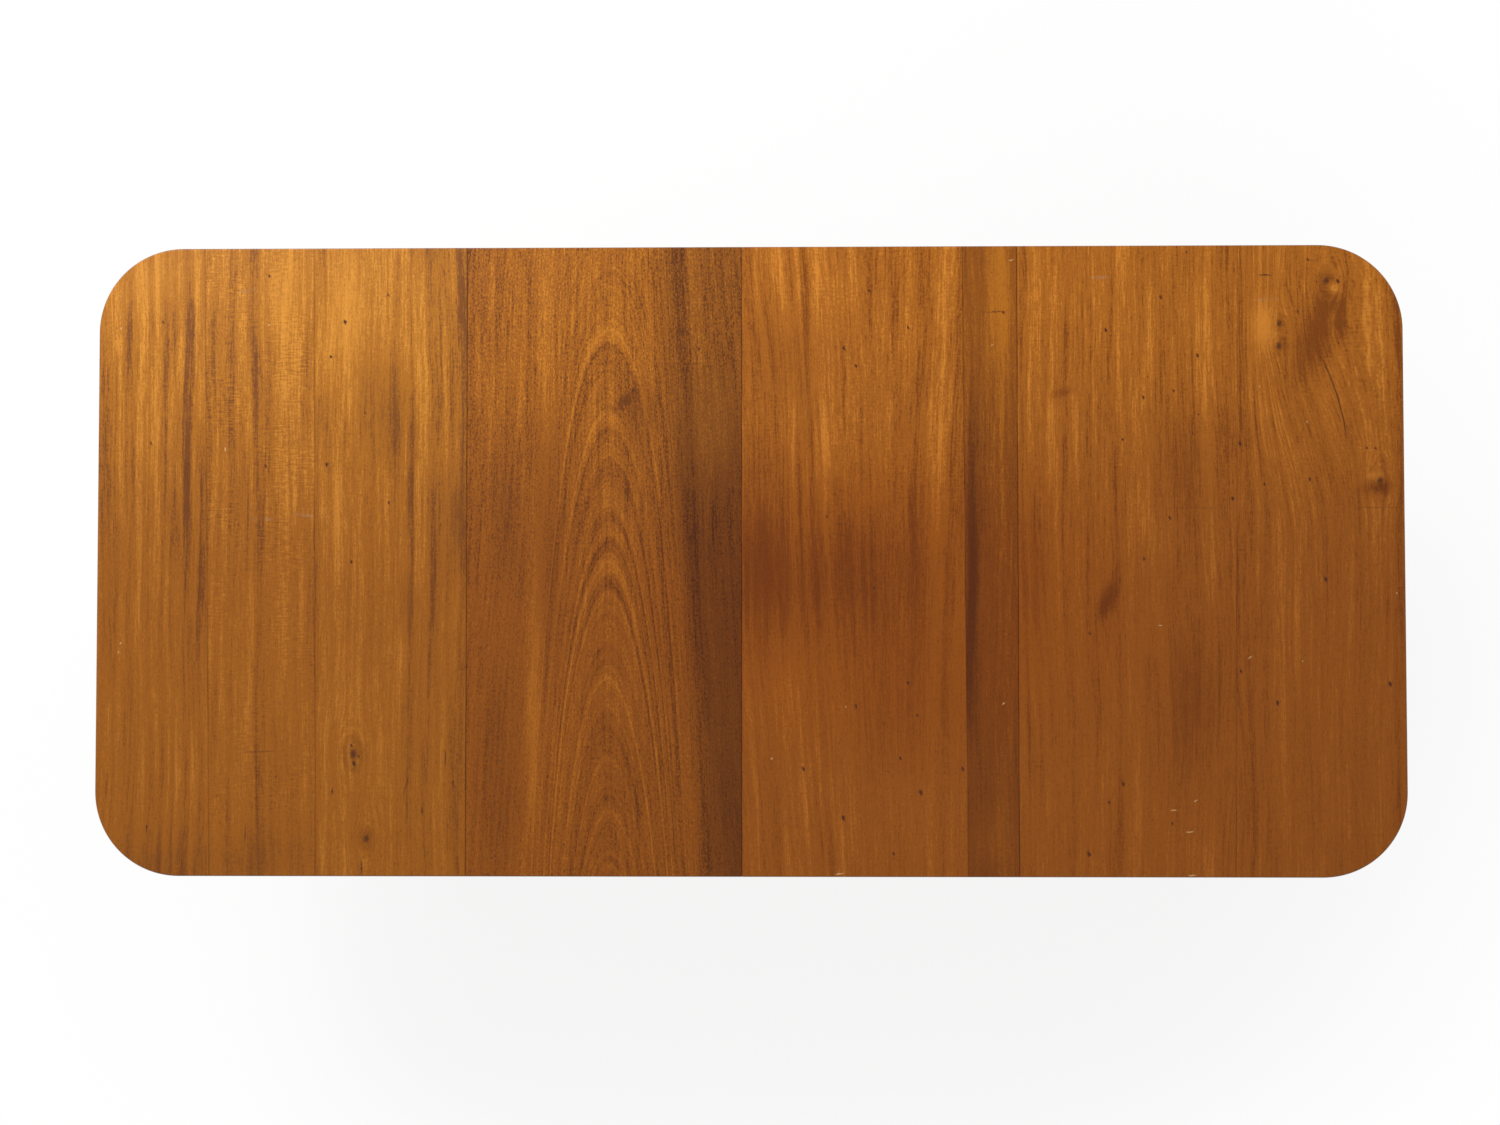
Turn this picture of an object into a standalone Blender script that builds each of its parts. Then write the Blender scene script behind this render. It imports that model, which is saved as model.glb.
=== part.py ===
"""Double pedestal dining table with rounded ends and two loose leaves.

Metres, +Z up. The origin is on the floor under the middle of the top, +X runs
along the table and +Y across it. Front is the -Y side and back the +Y side.

The top is four sections. Each end section stands on a pedestal and carries the
leaf beside it on two sliding lopers. The table opens in the middle, between the
two leaves, when the right half is rolled away on its casters.
"""

from math import atan2, cos, pi, radians, sin, tan

import bmesh
import bpy
from mathutils import Matrix, Vector
from mathutils.geometry import interpolate_bezier

# Clearances
SEAT_GAP = 0.0003
RUN_GAP = 0.0004
OVERRUN = 0.004
WELD_DISTANCE = 0.000001
POLE_WELD_DISTANCE = 0.00001

# Facets of the round stretches
CORNER_STEPS = 10
FILLET_STEPS = 3
SWEEP_STEPS = 8
BEAD_STEPS = 4
COLUMN_SIDES = 24
WHEEL_SIDES = 20
STUD_SIDES = 16
PIN_SIDES = 10

# Top
TABLE_HEIGHT = 0.737
TOP_WIDTH = 1.118
TOP_THICKNESS = 0.024
LEFT_END_LENGTH = 0.660
LEAF_LENGTH = 0.489
RIGHT_END_LENGTH = 0.682
CORNER_RADIUS = 0.150
UPPER_EDGE_ROUND = 0.003
LOWER_EDGE_EASE = 0.0015

# Dowels that line the sections up
DOWEL_RADIUS = 0.005
DOWEL_REACH = 0.018
DOWEL_POINT = 0.003
DOWEL_EDGE_SETBACK = 0.159
DOWEL_POINT_SHARE = 0.6

# Block on the column and the bearers beside it
BLOCK_WIDTH = 0.190
BLOCK_THICKNESS = 0.044
BLOCK_EDGE = 0.005
BEARER_LENGTH = 0.560
BEARER_WIDTH = 0.034
BEARER_DEPTH = 0.058
BEARER_END_DEPTH = 0.034
BEARER_SWEEP = 0.110

# Lopers that slide beside the bearers
LOPER_LENGTH = 0.560
LOPER_WIDTH = 0.030
LOPER_DEPTH = 0.044
LOPER_TIP_DEPTH = 0.020
LOPER_SWEEP = 0.060
TONGUE_LENGTH = 0.130
TONGUE_HEIGHT = 0.010
TONGUE_DEPTH = 0.009
TONGUE_DROP = 0.010
GROOVE_END_WALL = 0.015

# Turned column
COLUMN_BASE_HEIGHT = 0.190
DRUM_RADIUS = 0.060
DRUM_HEIGHT = 0.136
DRUM_EDGE = 0.006
TENON_RADIUS = 0.030
CAPITAL_RADIUS = 0.060
CAPITAL_LIP = 0.009
CAPITAL_SWEEP = 0.026
NECK_RADIUS = 0.035
BELLY_RADIUS = 0.055
WAIST_RADIUS = 0.038
UPPER_BEAD_PLACE = 0.060
BEAD_RADIUS = 0.007
BELLY_PLACE_SHARE = 0.30
VASE_SHOULDER_SHARE = 0.45
VASE_BELLY_SHARE = 0.38

# Legs
LEG_COUNT = 3
LEG_REACH = 0.430
LEG_THICKNESS = 0.040
LEG_ROOT_DEPTH = 0.108
LEG_SEAT_REACH = 0.105
LEG_EDGE = 0.004
LEG_UPPER_SHARES = ((0.30, 0.02), (0.55, 0.93))
LEG_LOWER_SHARES = ((0.25, 0.12), (0.50, 1.00))
DOVETAIL_NECK = 0.014
DOVETAIL_ROOT = 0.020
DOVETAIL_DEPTH = 0.016
DOVETAIL_HEIGHT = 0.090

# Iron plate under each pedestal
SPIDER_THICKNESS = 0.003
SPIDER_SETBACK = 0.007
SPIDER_ARM_WIDTH = 0.022
SPIDER_CENTRE_RADIUS = 0.026
SPIDER_TIP_ROUND = 0.009
SPIDER_CROTCH_ROUND = 0.008

# Brass toe caps
CAP_LENGTH = 0.046
CAP_WIDTH = 0.034
CAP_HEIGHT = 0.036
CAP_WALL = 0.0025
CAP_BASE = 0.004
CAP_NOSE_ROUND = 0.010
CAP_EDGE = 0.0015
CAP_RIM_LENGTH = 0.005
CAP_RIM_PROUD = 0.0012
CAP_REVEAL = 0.001

# Casters
WHEEL_RADIUS = 0.016
WHEEL_WIDTH = 0.014
WHEEL_CROWN = 0.0015
WHEEL_HUB_RADIUS = 0.0075
WHEEL_HUB_PROUD = 0.0008
WHEEL_ROOM = 0.002
AXLE_RADIUS = 0.003
AXLE_PROUD = 0.0009
TRAIL = 0.012
STEM_SETBACK = 0.022
STEM_RADIUS = 0.004
STEM_HEAD_RADIUS = 0.0065
STEM_HEAD_THICKNESS = 0.002
SWIVEL_BOSS_RADIUS = 0.009
SWIVEL_BOSS_HEIGHT = 0.0015
CROWN_THICKNESS = 0.0035
CROWN_FRONT = 0.0105
CROWN_PROUD = 0.0005
CROWN_BACK = 0.007
CROWN_ROUND = 0.004
CHEEK_THICKNESS = 0.0025
CHEEK_EYE_RADIUS = 0.006

# Brass forks that hold a leaf to its end section
FORK_EDGE_SETBACK = 0.199
FORK_THICKNESS = 0.004
FORK_BRIDGE = 0.012
PRONG_LENGTH = 0.052
PRONG_WIDTH = 0.010
PRONG_SPACING = 0.046
PRONG_TIP_ROUND = 0.003
FORK_CROTCH_ROUND = 0.003
FORK_OUTER_ROUND = 0.010
KEEPER_LENGTH = 0.020
KEEPER_WALL = 0.002
KEEPER_EAR = 0.010
KEEPER_BEND = 0.0012

# Brass hook catches across the middle joint
CATCH_EDGE_SETBACK = 0.199
CATCH_PIVOT_SETBACK = 0.024
CATCH_STUD_SETBACK = 0.031
CATCH_PLATE_RADIUS = 0.012
CATCH_PLATE_THICKNESS = 0.002
CATCH_SHANK_RADIUS = 0.0035
CATCH_HEAD_RADIUS = 0.0068
CATCH_HEAD_THICKNESS = 0.0018
HOOK_THICKNESS = 0.003
HOOK_WIDTH = 0.016
HOOK_FINGER = 0.006

# Places that follow from the sizes
TOP_LENGTH = LEFT_END_LENGTH + 2 * LEAF_LENGTH + RIGHT_END_LENGTH
TOP_LEFT = -TOP_LENGTH / 2
TOP_RIGHT = TOP_LENGTH / 2
LEFT_JOINT = TOP_LEFT + LEFT_END_LENGTH
MIDDLE_JOINT = LEFT_JOINT + LEAF_LENGTH
RIGHT_JOINT = MIDDLE_JOINT + LEAF_LENGTH
LEFT_PEDESTAL = TOP_LEFT + LEFT_END_LENGTH / 2
RIGHT_PEDESTAL = TOP_RIGHT - RIGHT_END_LENGTH / 2
TOP_UNDERSIDE = TABLE_HEIGHT - TOP_THICKNESS
SEAT_LEVEL = TOP_UNDERSIDE - SEAT_GAP
SPIDER_REACH = LEG_SEAT_REACH - SPIDER_SETBACK
SHOULDER_LEVEL = SEAT_LEVEL - BLOCK_THICKNESS - SEAT_GAP
BEARER_MIDDLE = BLOCK_WIDTH / 2 + SEAT_GAP + BEARER_WIDTH / 2
LOPER_MIDDLE = BEARER_MIDDLE + BEARER_WIDTH / 2 + RUN_GAP + LOPER_WIDTH / 2
GROOVE_FRONT = BEARER_LENGTH / 2 - GROOVE_END_WALL
LOPER_REAR = GROOVE_FRONT - RUN_GAP - TONGUE_LENGTH
CROWN_UNDERSIDE = 2 * WHEEL_RADIUS + WHEEL_ROOM
CAP_BOTTOM = CROWN_UNDERSIDE + CROWN_THICKNESS + SWIVEL_BOSS_HEIGHT + RUN_GAP
CAP_START = LEG_REACH - CAP_LENGTH
CAVITY_BOTTOM = CAP_BOTTOM + CAP_BASE
CAVITY_TOP = CAP_BOTTOM + CAP_HEIGHT - CAP_WALL
STEM_PLACE = LEG_REACH - STEM_SETBACK
STEM_HEAD_BOTTOM = CAVITY_BOTTOM + RUN_GAP
HORN_WIDTH = WHEEL_WIDTH + 2 * (WHEEL_HUB_PROUD + RUN_GAP + CHEEK_THICKNESS)
CATCH_SPAN = CATCH_PIVOT_SETBACK + CATCH_STUD_SETBACK
OUTER_DOWEL_PLACE = TOP_WIDTH / 2 - DOWEL_EDGE_SETBACK
FORK_PLACE = TOP_WIDTH / 2 - FORK_EDGE_SETBACK
CATCH_PLACE = TOP_WIDTH / 2 - CATCH_EDGE_SETBACK

# Colours, as linear red, green and blue
MAHOGANY_COLOR = (0.31, 0.125, 0.036)
BRASS_COLOR = (0.68, 0.46, 0.17)
IRON_COLOR = (0.045, 0.042, 0.040)
MAHOGANY_ROUGHNESS = 0.34
BRASS_ROUGHNESS = 0.28
IRON_ROUGHNESS = 0.60

# Names that repeat in the nodes
HALVES = ("left", "right")
SIDES = ("front", "back")
LEGS = ("inner", "back", "front")


# Scene and collections
def clear_scene():
    for obj in list(bpy.data.objects):
        bpy.data.objects.remove(obj, do_unlink=True)


def new_collection(name):
    collection = bpy.data.collections.new(name)
    bpy.context.scene.collection.children.link(collection)
    return collection


clear_scene()
parts = new_collection("double_pedestal_dining_table")
cutters = new_collection("cutters")


def new_material(name, color, roughness, metallic):
    material = bpy.data.materials.new(name)
    material.use_nodes = True
    shader = material.node_tree.nodes["Principled BSDF"]
    shader.inputs["Base Color"].default_value = (*color, 1.0)
    shader.inputs["Roughness"].default_value = roughness
    shader.inputs["Metallic"].default_value = metallic
    return material


# Working pieces, which are cut and joined and then become one mesh
def working_piece(name, data):
    piece = bpy.data.objects.new(name, data)
    piece.hide_render = True
    piece.display_type = "WIRE"
    cutters.objects.link(piece)
    return piece


def shape_of(piece):
    """The mesh of a piece with its modifiers and its place, welded and facing out."""
    bpy.context.view_layer.update()
    depsgraph = bpy.context.evaluated_depsgraph_get()
    mesh = bpy.data.meshes.new_from_object(piece.evaluated_get(depsgraph), depsgraph=depsgraph)
    mesh.transform(piece.matrix_world)
    bpy.data.objects.remove(piece, do_unlink=True)
    edit = bmesh.new()
    edit.from_mesh(mesh)
    bmesh.ops.remove_doubles(edit, verts=edit.verts, dist=WELD_DISTANCE)
    bmesh.ops.recalc_face_normals(edit, faces=edit.faces)
    edit.to_mesh(mesh)
    edit.free()
    return mesh


def shaped(piece):
    """The piece again, as a plain mesh at the origin."""
    name = piece.name
    mesh = shape_of(piece)
    mesh.name = name
    return working_piece(name, mesh)


def combined(piece, tool, operation):
    boolean = piece.modifiers.new(operation.lower(), "BOOLEAN")
    boolean.operation = operation
    boolean.solver = "EXACT"
    boolean.object = tool
    result = shaped(piece)
    bpy.data.objects.remove(tool, do_unlink=True)
    return result


def joined(piece, *tools):
    for tool in tools:
        piece = combined(piece, tool, "UNION")
    return piece


def cut(piece, *tools):
    for tool in tools:
        piece = combined(piece, tool, "DIFFERENCE")
    return piece


def eased(piece, width, segments=1):
    """Every sharp edge of the piece rounded."""
    bevel = piece.modifiers.new("ease", "BEVEL")
    bevel.width = width
    bevel.segments = segments
    bevel.limit_method = "ANGLE"
    bevel.angle_limit = radians(40)
    return shaped(piece)


def box(name, low, high):
    mesh = bpy.data.meshes.new(name)
    edit = bmesh.new()
    bmesh.ops.create_cube(edit, size=1.0)
    size = Vector(high) - Vector(low)
    bmesh.ops.scale(edit, vec=size, verts=edit.verts)
    bmesh.ops.translate(edit, vec=Vector(low) + size / 2, verts=edit.verts)
    edit.to_mesh(mesh)
    edit.free()
    return working_piece(name, mesh)


def turned(name, profile, sides, ring=False):
    """A profile of (radius, height), top to bottom, turned round the Z axis."""
    mesh = bpy.data.meshes.new(name)
    points = [(radius, 0, height) for radius, height in profile]
    edges = [(index, index + 1) for index in range(len(points) - 1)]
    if ring:
        edges.append((len(points) - 1, 0))
    mesh.from_pydata(points, edges, [])
    piece = working_piece(name, mesh)
    screw = piece.modifiers.new("turn", "SCREW")
    screw.steps = sides
    screw.render_steps = sides
    screw.use_merge_vertices = True
    screw.merge_threshold = POLE_WELD_DISTANCE
    return shaped(piece)


def flat(name, outline, thickness, upright=False):
    """A flat outline with its thickness, lying on XY or standing on XZ."""
    curve = bpy.data.curves.new(name, "CURVE")
    curve.dimensions = "2D"
    curve.fill_mode = "BOTH"
    curve.extrude = thickness / 2
    spline = curve.splines.new("POLY")
    spline.points.add(len(outline) - 1)
    for point, place in zip(spline.points, outline):
        point.co = (place[0], place[1], 0, 1)
    spline.use_cyclic_u = True
    piece = working_piece(name, curve)
    if upright:
        piece.rotation_euler.x = pi / 2
    piece = shaped(piece)
    edit = bmesh.new()
    edit.from_mesh(piece.data)
    bmesh.ops.dissolve_limit(edit, angle_limit=radians(0.1), verts=edit.verts, edges=edit.edges)
    edit.to_mesh(piece.data)
    edit.free()
    return piece


def moved(piece, x=0.0, y=0.0, z=0.0):
    piece.data.transform(Matrix.Translation((x, y, z)))
    return piece


def turned_about(piece, axis, angle):
    piece.data.transform(Matrix.Rotation(angle, 4, axis))
    return piece


# Outlines
def rounded(corners, steps=FILLET_STEPS):
    """The outline through corners (x, y, radius), each corner turned into an arc."""
    outline = []
    for index, (x, y, radius) in enumerate(corners):
        corner = Vector((x, y))
        if radius == 0:
            outline.append(corner)
            continue
        before = (Vector(corners[index - 1][:2]) - corner).normalized()
        after = (Vector(corners[(index + 1) % len(corners)][:2]) - corner).normalized()
        half_angle = before.angle(after) / 2
        centre = corner + (before + after).normalized() * (radius / sin(half_angle))
        reach = radius / tan(half_angle)
        start = corner + before * reach - centre
        end = corner + after * reach - centre
        first = atan2(start.y, start.x)
        sweep = (atan2(end.y, end.x) - first + pi) % (2 * pi) - pi
        for step in range(steps + 1):
            angle = first + sweep * step / steps
            outline.append(centre + radius * Vector((cos(angle), sin(angle))))
    return outline


def swept(start, end, shares, steps=SWEEP_STEPS):
    """A curve from start to end, pulled by two points given as shares of its run and rise."""
    run = end[0] - start[0]
    rise = end[1] - start[1]
    pulls = [(start[0] + across * run, start[1] + along * rise, 0) for across, along in shares]
    curve = interpolate_bezier((*start, 0), pulls[0], pulls[1], (*end, 0), steps + 1)
    return [(point.x, point.y) for point in curve]


OGEE_SHARES = ((0.5, 0.0), (0.5, 1.0))
COVE_SHARES = ((0.65, 0.0), (1.0, 0.45))


def bead(radius, height, size):
    """A half round bead on a turned profile, top to bottom."""
    points = []
    for step in range(BEAD_STEPS + 1):
        angle = pi / 2 - pi * step / BEAD_STEPS
        points.append((radius + size * cos(angle), height + size * sin(angle)))
    return points


# Placing the finished pieces
def place(name, mesh, material, parent, location=(0, 0, 0), turn=0.0, sharp_angle=35):
    mesh.shade_smooth()
    mesh.set_sharp_from_angle(angle=radians(sharp_angle))
    if not mesh.materials:
        mesh.materials.append(material)
    piece = bpy.data.objects.new(name, mesh)
    piece.parent = parent
    piece.location = location
    piece.rotation_euler.z = turn
    parts.objects.link(piece)
    return piece


def empty(name, parent=None, location=(0, 0, 0), turn=0.0):
    holder = bpy.data.objects.new(name, None)
    holder.parent = parent
    holder.location = location
    holder.rotation_euler.z = turn
    parts.objects.link(holder)
    return holder


# Top sections
def section_outline(x_low, x_high, round_low, round_high):
    half = TOP_WIDTH / 2
    return rounded([
        (x_low, -half, round_low),
        (x_high, -half, round_high),
        (x_high, half, round_high),
        (x_low, half, round_low),
    ], CORNER_STEPS)


def ease_rim(piece, level, joints, width, segments):
    """Round the rim at one level, apart from the straight sides that lie against a joint."""
    edit = bmesh.new()
    edit.from_mesh(piece.data)
    near = SEAT_GAP / 2
    rim = []
    for edge in edit.edges:
        ends = [vert.co for vert in edge.verts]
        level_edge = all(abs(end.z - level) < near for end in ends)
        at_joint = any(all(abs(end.x - joint) < near for end in ends) for joint in joints)
        if level_edge and not at_joint:
            rim.append(edge)
    bmesh.ops.bevel(edit, geom=rim, offset=width, segments=segments, profile=0.5, affect="EDGES")
    edit.to_mesh(piece.data)
    edit.free()


def dowel(radius, x_low, reach, y, point):
    """A dowel along +X, with its point tapered."""
    tip_radius = radius * DOWEL_POINT_SHARE
    profile = [
        (0, reach),
        (tip_radius, reach),
        (radius, reach - point),
        (radius, -OVERRUN),
        (0, -OVERRUN),
    ]
    piece = turned("dowel", profile, PIN_SIDES)
    turned_about(piece, "Y", pi / 2)
    return moved(piece, x_low, y, TABLE_HEIGHT - TOP_THICKNESS / 2)


def dowel_rows():
    return [-OUTER_DOWEL_PLACE, 0.0, OUTER_DOWEL_PLACE]


def top_section(name, x_low, x_high, round_low, round_high, material, parent):
    """One section, with dowels on its +X joint and sockets for them on its -X joint."""
    left_joint = x_low > TOP_LEFT
    right_joint = x_high < TOP_RIGHT
    low = x_low + SEAT_GAP / 2 * left_joint
    high = x_high - SEAT_GAP / 2 * right_joint
    piece = flat(name, section_outline(low, high, round_low, round_high), TOP_THICKNESS)
    moved(piece, z=TABLE_HEIGHT - TOP_THICKNESS / 2)
    joints = [low] * left_joint + [high] * right_joint
    ease_rim(piece, TABLE_HEIGHT, joints, UPPER_EDGE_ROUND, FILLET_STEPS)
    ease_rim(piece, TOP_UNDERSIDE, joints, LOWER_EDGE_EASE, 1)
    for y in dowel_rows():
        if left_joint:
            socket_reach = DOWEL_REACH + RUN_GAP
            socket = dowel(DOWEL_RADIUS + RUN_GAP, low, socket_reach, y, DOWEL_POINT)
            piece = cut(piece, socket)
        if right_joint:
            piece = joined(piece, dowel(DOWEL_RADIUS, high, DOWEL_REACH, y, DOWEL_POINT))
    place(name, shape_of(piece), material, parent)


# Block, bearers and lopers
def block_shape():
    low = -BLOCK_WIDTH / 2
    high = BLOCK_WIDTH / 2
    bottom = SEAT_LEVEL - BLOCK_THICKNESS
    piece = box("block", (low, low, bottom), (high, high, SEAT_LEVEL))
    piece = eased(piece, BLOCK_EDGE)
    bore_radius = TENON_RADIUS + SEAT_GAP
    bore = [
        (0, SEAT_LEVEL + OVERRUN),
        (bore_radius, SEAT_LEVEL + OVERRUN),
        (bore_radius, bottom - OVERRUN),
        (0, bottom - OVERRUN),
    ]
    return shape_of(cut(piece, turned("bore", bore, COLUMN_SIDES)))


def bearer_outline():
    half = BEARER_LENGTH / 2
    left = swept((-half, -BEARER_END_DEPTH), (BEARER_SWEEP - half, -BEARER_DEPTH), OGEE_SHARES)
    right = [(-x, z) for x, z in reversed(left)]
    return [(-half, 0), *left, *right, (half, 0)]


def tongue_box(name, x_low, x_high, depth, spare):
    """The tongue of a loper that stands on the +Y side of its bearer, or the groove for it."""
    face = BEARER_MIDDLE + BEARER_WIDTH / 2
    top = SEAT_LEVEL - TONGUE_DROP + spare
    bottom = SEAT_LEVEL - TONGUE_DROP - TONGUE_HEIGHT - spare
    return box(name, (x_low, face - depth, bottom), (x_high, face + OVERRUN, top))


def mirrored(mesh):
    """The mesh for the front side, from the one for the back side."""
    copy = mesh.copy()
    copy.transform(Matrix.Scale(-1, 4, (0, 1, 0)))
    copy.flip_normals()
    return copy


def bearer_shape():
    piece = flat("bearer", bearer_outline(), BEARER_WIDTH, upright=True)
    moved(piece, y=BEARER_MIDDLE, z=SEAT_LEVEL)
    piece = cut(piece, tongue_box(
        "groove", -GROOVE_FRONT, GROOVE_FRONT, TONGUE_DEPTH + RUN_GAP, RUN_GAP))
    return shape_of(piece)


def loper_shape():
    """A loper drawn out at rest, under the leaf on its +X side."""
    tip = LOPER_REAR + LOPER_LENGTH
    ogee = swept((tip - LOPER_SWEEP, -LOPER_DEPTH), (tip, -LOPER_TIP_DEPTH), OGEE_SHARES)
    outline = [(LOPER_REAR, 0), (LOPER_REAR, -LOPER_DEPTH), *ogee, (tip, 0)]
    piece = flat("loper", outline, LOPER_WIDTH, upright=True)
    moved(piece, y=LOPER_MIDDLE, z=SEAT_LEVEL)
    tongue = tongue_box("tongue", LOPER_REAR, LOPER_REAR + TONGUE_LENGTH, TONGUE_DEPTH, 0.0)
    return shape_of(joined(piece, tongue))


# Column
def column_profile():
    capital_bottom = SHOULDER_LEVEL - CAPITAL_LIP
    upper_bead = SHOULDER_LEVEL - UPPER_BEAD_PLACE
    drum_top = COLUMN_BASE_HEIGHT + DRUM_HEIGHT
    lower_bead = drum_top + BEAD_RADIUS
    vase_top = upper_bead - BEAD_RADIUS
    vase_bottom = lower_bead + BEAD_RADIUS
    belly = vase_bottom + BELLY_PLACE_SHARE * (vase_top - vase_bottom)
    shoulder_shares = ((0.0, VASE_SHOULDER_SHARE), (1.0, 1 - VASE_BELLY_SHARE))
    foot_shares = ((0.0, VASE_BELLY_SHARE), (1.0, VASE_BELLY_SHARE))
    capital_foot = (NECK_RADIUS, capital_bottom - CAPITAL_SWEEP)
    return [
        (0, SEAT_LEVEL),
        (TENON_RADIUS, SEAT_LEVEL),
        (TENON_RADIUS, SHOULDER_LEVEL),
        (CAPITAL_RADIUS, SHOULDER_LEVEL),
        *swept((CAPITAL_RADIUS, capital_bottom), capital_foot, COVE_SHARES, BEAD_STEPS),
        *bead(NECK_RADIUS, upper_bead, BEAD_RADIUS),
        *swept((NECK_RADIUS, vase_top), (BELLY_RADIUS, belly), shoulder_shares)[1:],
        *swept((BELLY_RADIUS, belly), (WAIST_RADIUS, vase_bottom), foot_shares)[1:-1],
        *bead(WAIST_RADIUS + BEAD_RADIUS, lower_bead, BEAD_RADIUS),
        (DRUM_RADIUS - DRUM_EDGE, drum_top),
        (DRUM_RADIUS, drum_top - DRUM_EDGE),
        (DRUM_RADIUS, COLUMN_BASE_HEIGHT),
        (0, COLUMN_BASE_HEIGHT),
    ]


def dovetail(name, spare):
    """The dovetail on a leg's root, or with spare room the housing for it."""
    neck = DOVETAIL_NECK / 2 + spare
    root = DOVETAIL_ROOT / 2 + spare
    inner = DRUM_RADIUS - DOVETAIL_DEPTH - spare
    outer = DRUM_RADIUS + OVERRUN
    height = DOVETAIL_HEIGHT + spare
    drop = OVERRUN if spare else 0.0
    outline = [(inner, -root), (DRUM_RADIUS, -neck), (outer, -neck),
               (outer, neck), (DRUM_RADIUS, neck), (inner, root)]
    piece = flat(name, outline, height + drop)
    return moved(piece, z=COLUMN_BASE_HEIGHT + (height - drop) / 2)


def leg_angles():
    return [2 * pi * number / LEG_COUNT for number in range(LEG_COUNT)]


def column_shape():
    piece = turned("column", column_profile(), COLUMN_SIDES)
    for angle in leg_angles():
        piece = cut(piece, turned_about(dovetail("housing", SEAT_GAP), "Z", angle))
    return shape_of(piece)


# Legs
def leg_outline():
    toe_bottom = CAP_BOTTOM + CAP_REVEAL
    toe_top = CAP_BOTTOM + CAP_HEIGHT - CAP_REVEAL
    toe = CAP_START - SEAT_GAP
    root_top = COLUMN_BASE_HEIGHT + LEG_ROOT_DEPTH
    upper = swept((DRUM_RADIUS, root_top), (toe, toe_top), LEG_UPPER_SHARES)
    lower = swept((LEG_SEAT_REACH, COLUMN_BASE_HEIGHT), (toe, toe_bottom), LEG_LOWER_SHARES)
    inner = DRUM_RADIUS - DOVETAIL_DEPTH
    return [(inner, root_top), *upper, *reversed(lower), (inner, COLUMN_BASE_HEIGHT)]


def thin_towards_toe(piece):
    """The leg's thickness runs evenly down to that of the toe."""
    toe_thickness = CAP_WIDTH - 2 * CAP_REVEAL
    for vert in piece.data.vertices:
        along = (vert.co.x - DRUM_RADIUS) / (CAP_START - DRUM_RADIUS)
        share = min(max(along, 0.0), 1.0)
        vert.co.y *= 1 + share * (toe_thickness / LEG_THICKNESS - 1)


def drum_cutter():
    radius = DRUM_RADIUS + SEAT_GAP
    top = COLUMN_BASE_HEIGHT + LEG_ROOT_DEPTH + OVERRUN
    bottom = COLUMN_BASE_HEIGHT - OVERRUN
    return turned("drum", [(0, top), (radius, top), (radius, bottom), (0, bottom)], COLUMN_SIDES)


def toe_tongue():
    half = CAP_WIDTH / 2 - CAP_WALL - SEAT_GAP
    low = (CAP_START - OVERRUN, -half, CAVITY_BOTTOM + SEAT_GAP)
    high = (LEG_REACH - CAP_WALL - SEAT_GAP, half, CAVITY_TOP - SEAT_GAP)
    corner = CAP_NOSE_ROUND - CAP_WALL
    outline = rounded([
        (low[0], -half, 0),
        (high[0], -half, corner),
        (high[0], half, corner),
        (low[0], half, 0),
    ])
    piece = flat("tongue", outline, high[2] - low[2])
    return moved(piece, z=(low[2] + high[2]) / 2)


def stem_pocket():
    """Room in the toe for the riveted head of the caster's stem."""
    radius = STEM_HEAD_RADIUS + RUN_GAP
    top = STEM_HEAD_BOTTOM + STEM_HEAD_THICKNESS + RUN_GAP
    bottom = CAVITY_BOTTOM - OVERRUN
    profile = [(0, top), (radius, top), (radius, bottom), (0, bottom)]
    return moved(turned("pocket", profile, PIN_SIDES), x=STEM_PLACE)


def leg_shape():
    piece = flat("leg", leg_outline(), LEG_THICKNESS, upright=True)
    thin_towards_toe(piece)
    piece = eased(piece, LEG_EDGE, 2)
    piece = cut(piece, drum_cutter())
    piece = joined(piece, dovetail("dovetail", 0.0), toe_tongue())
    return shape_of(cut(piece, stem_pocket()))


# Iron plate
def spider_shape():
    corners = []
    half = SPIDER_ARM_WIDTH / 2
    for angle in leg_angles():
        along = Vector((cos(angle), sin(angle)))
        across = Vector((-sin(angle), cos(angle)))
        crotch_angle = angle + pi / LEG_COUNT
        for side in (-1, 1):
            tip = along * SPIDER_REACH + across * half * side
            corners.append((*tip, SPIDER_TIP_ROUND))
        crotch = SPIDER_CENTRE_RADIUS * Vector((cos(crotch_angle), sin(crotch_angle)))
        corners.append((*crotch, SPIDER_CROTCH_ROUND))
    piece = flat("spider", rounded(corners), SPIDER_THICKNESS)
    moved(piece, z=COLUMN_BASE_HEIGHT - SEAT_GAP - SPIDER_THICKNESS / 2)
    return shape_of(piece)


# Toe cap
def cap_body(name, x_low, half, z_low, z_high, nose, x_high):
    outline = rounded([
        (x_low, -half, 0),
        (x_high, -half, nose),
        (x_high, half, nose),
        (x_low, half, 0),
    ])
    piece = flat(name, outline, z_high - z_low)
    return moved(piece, z=(z_low + z_high) / 2)


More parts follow.
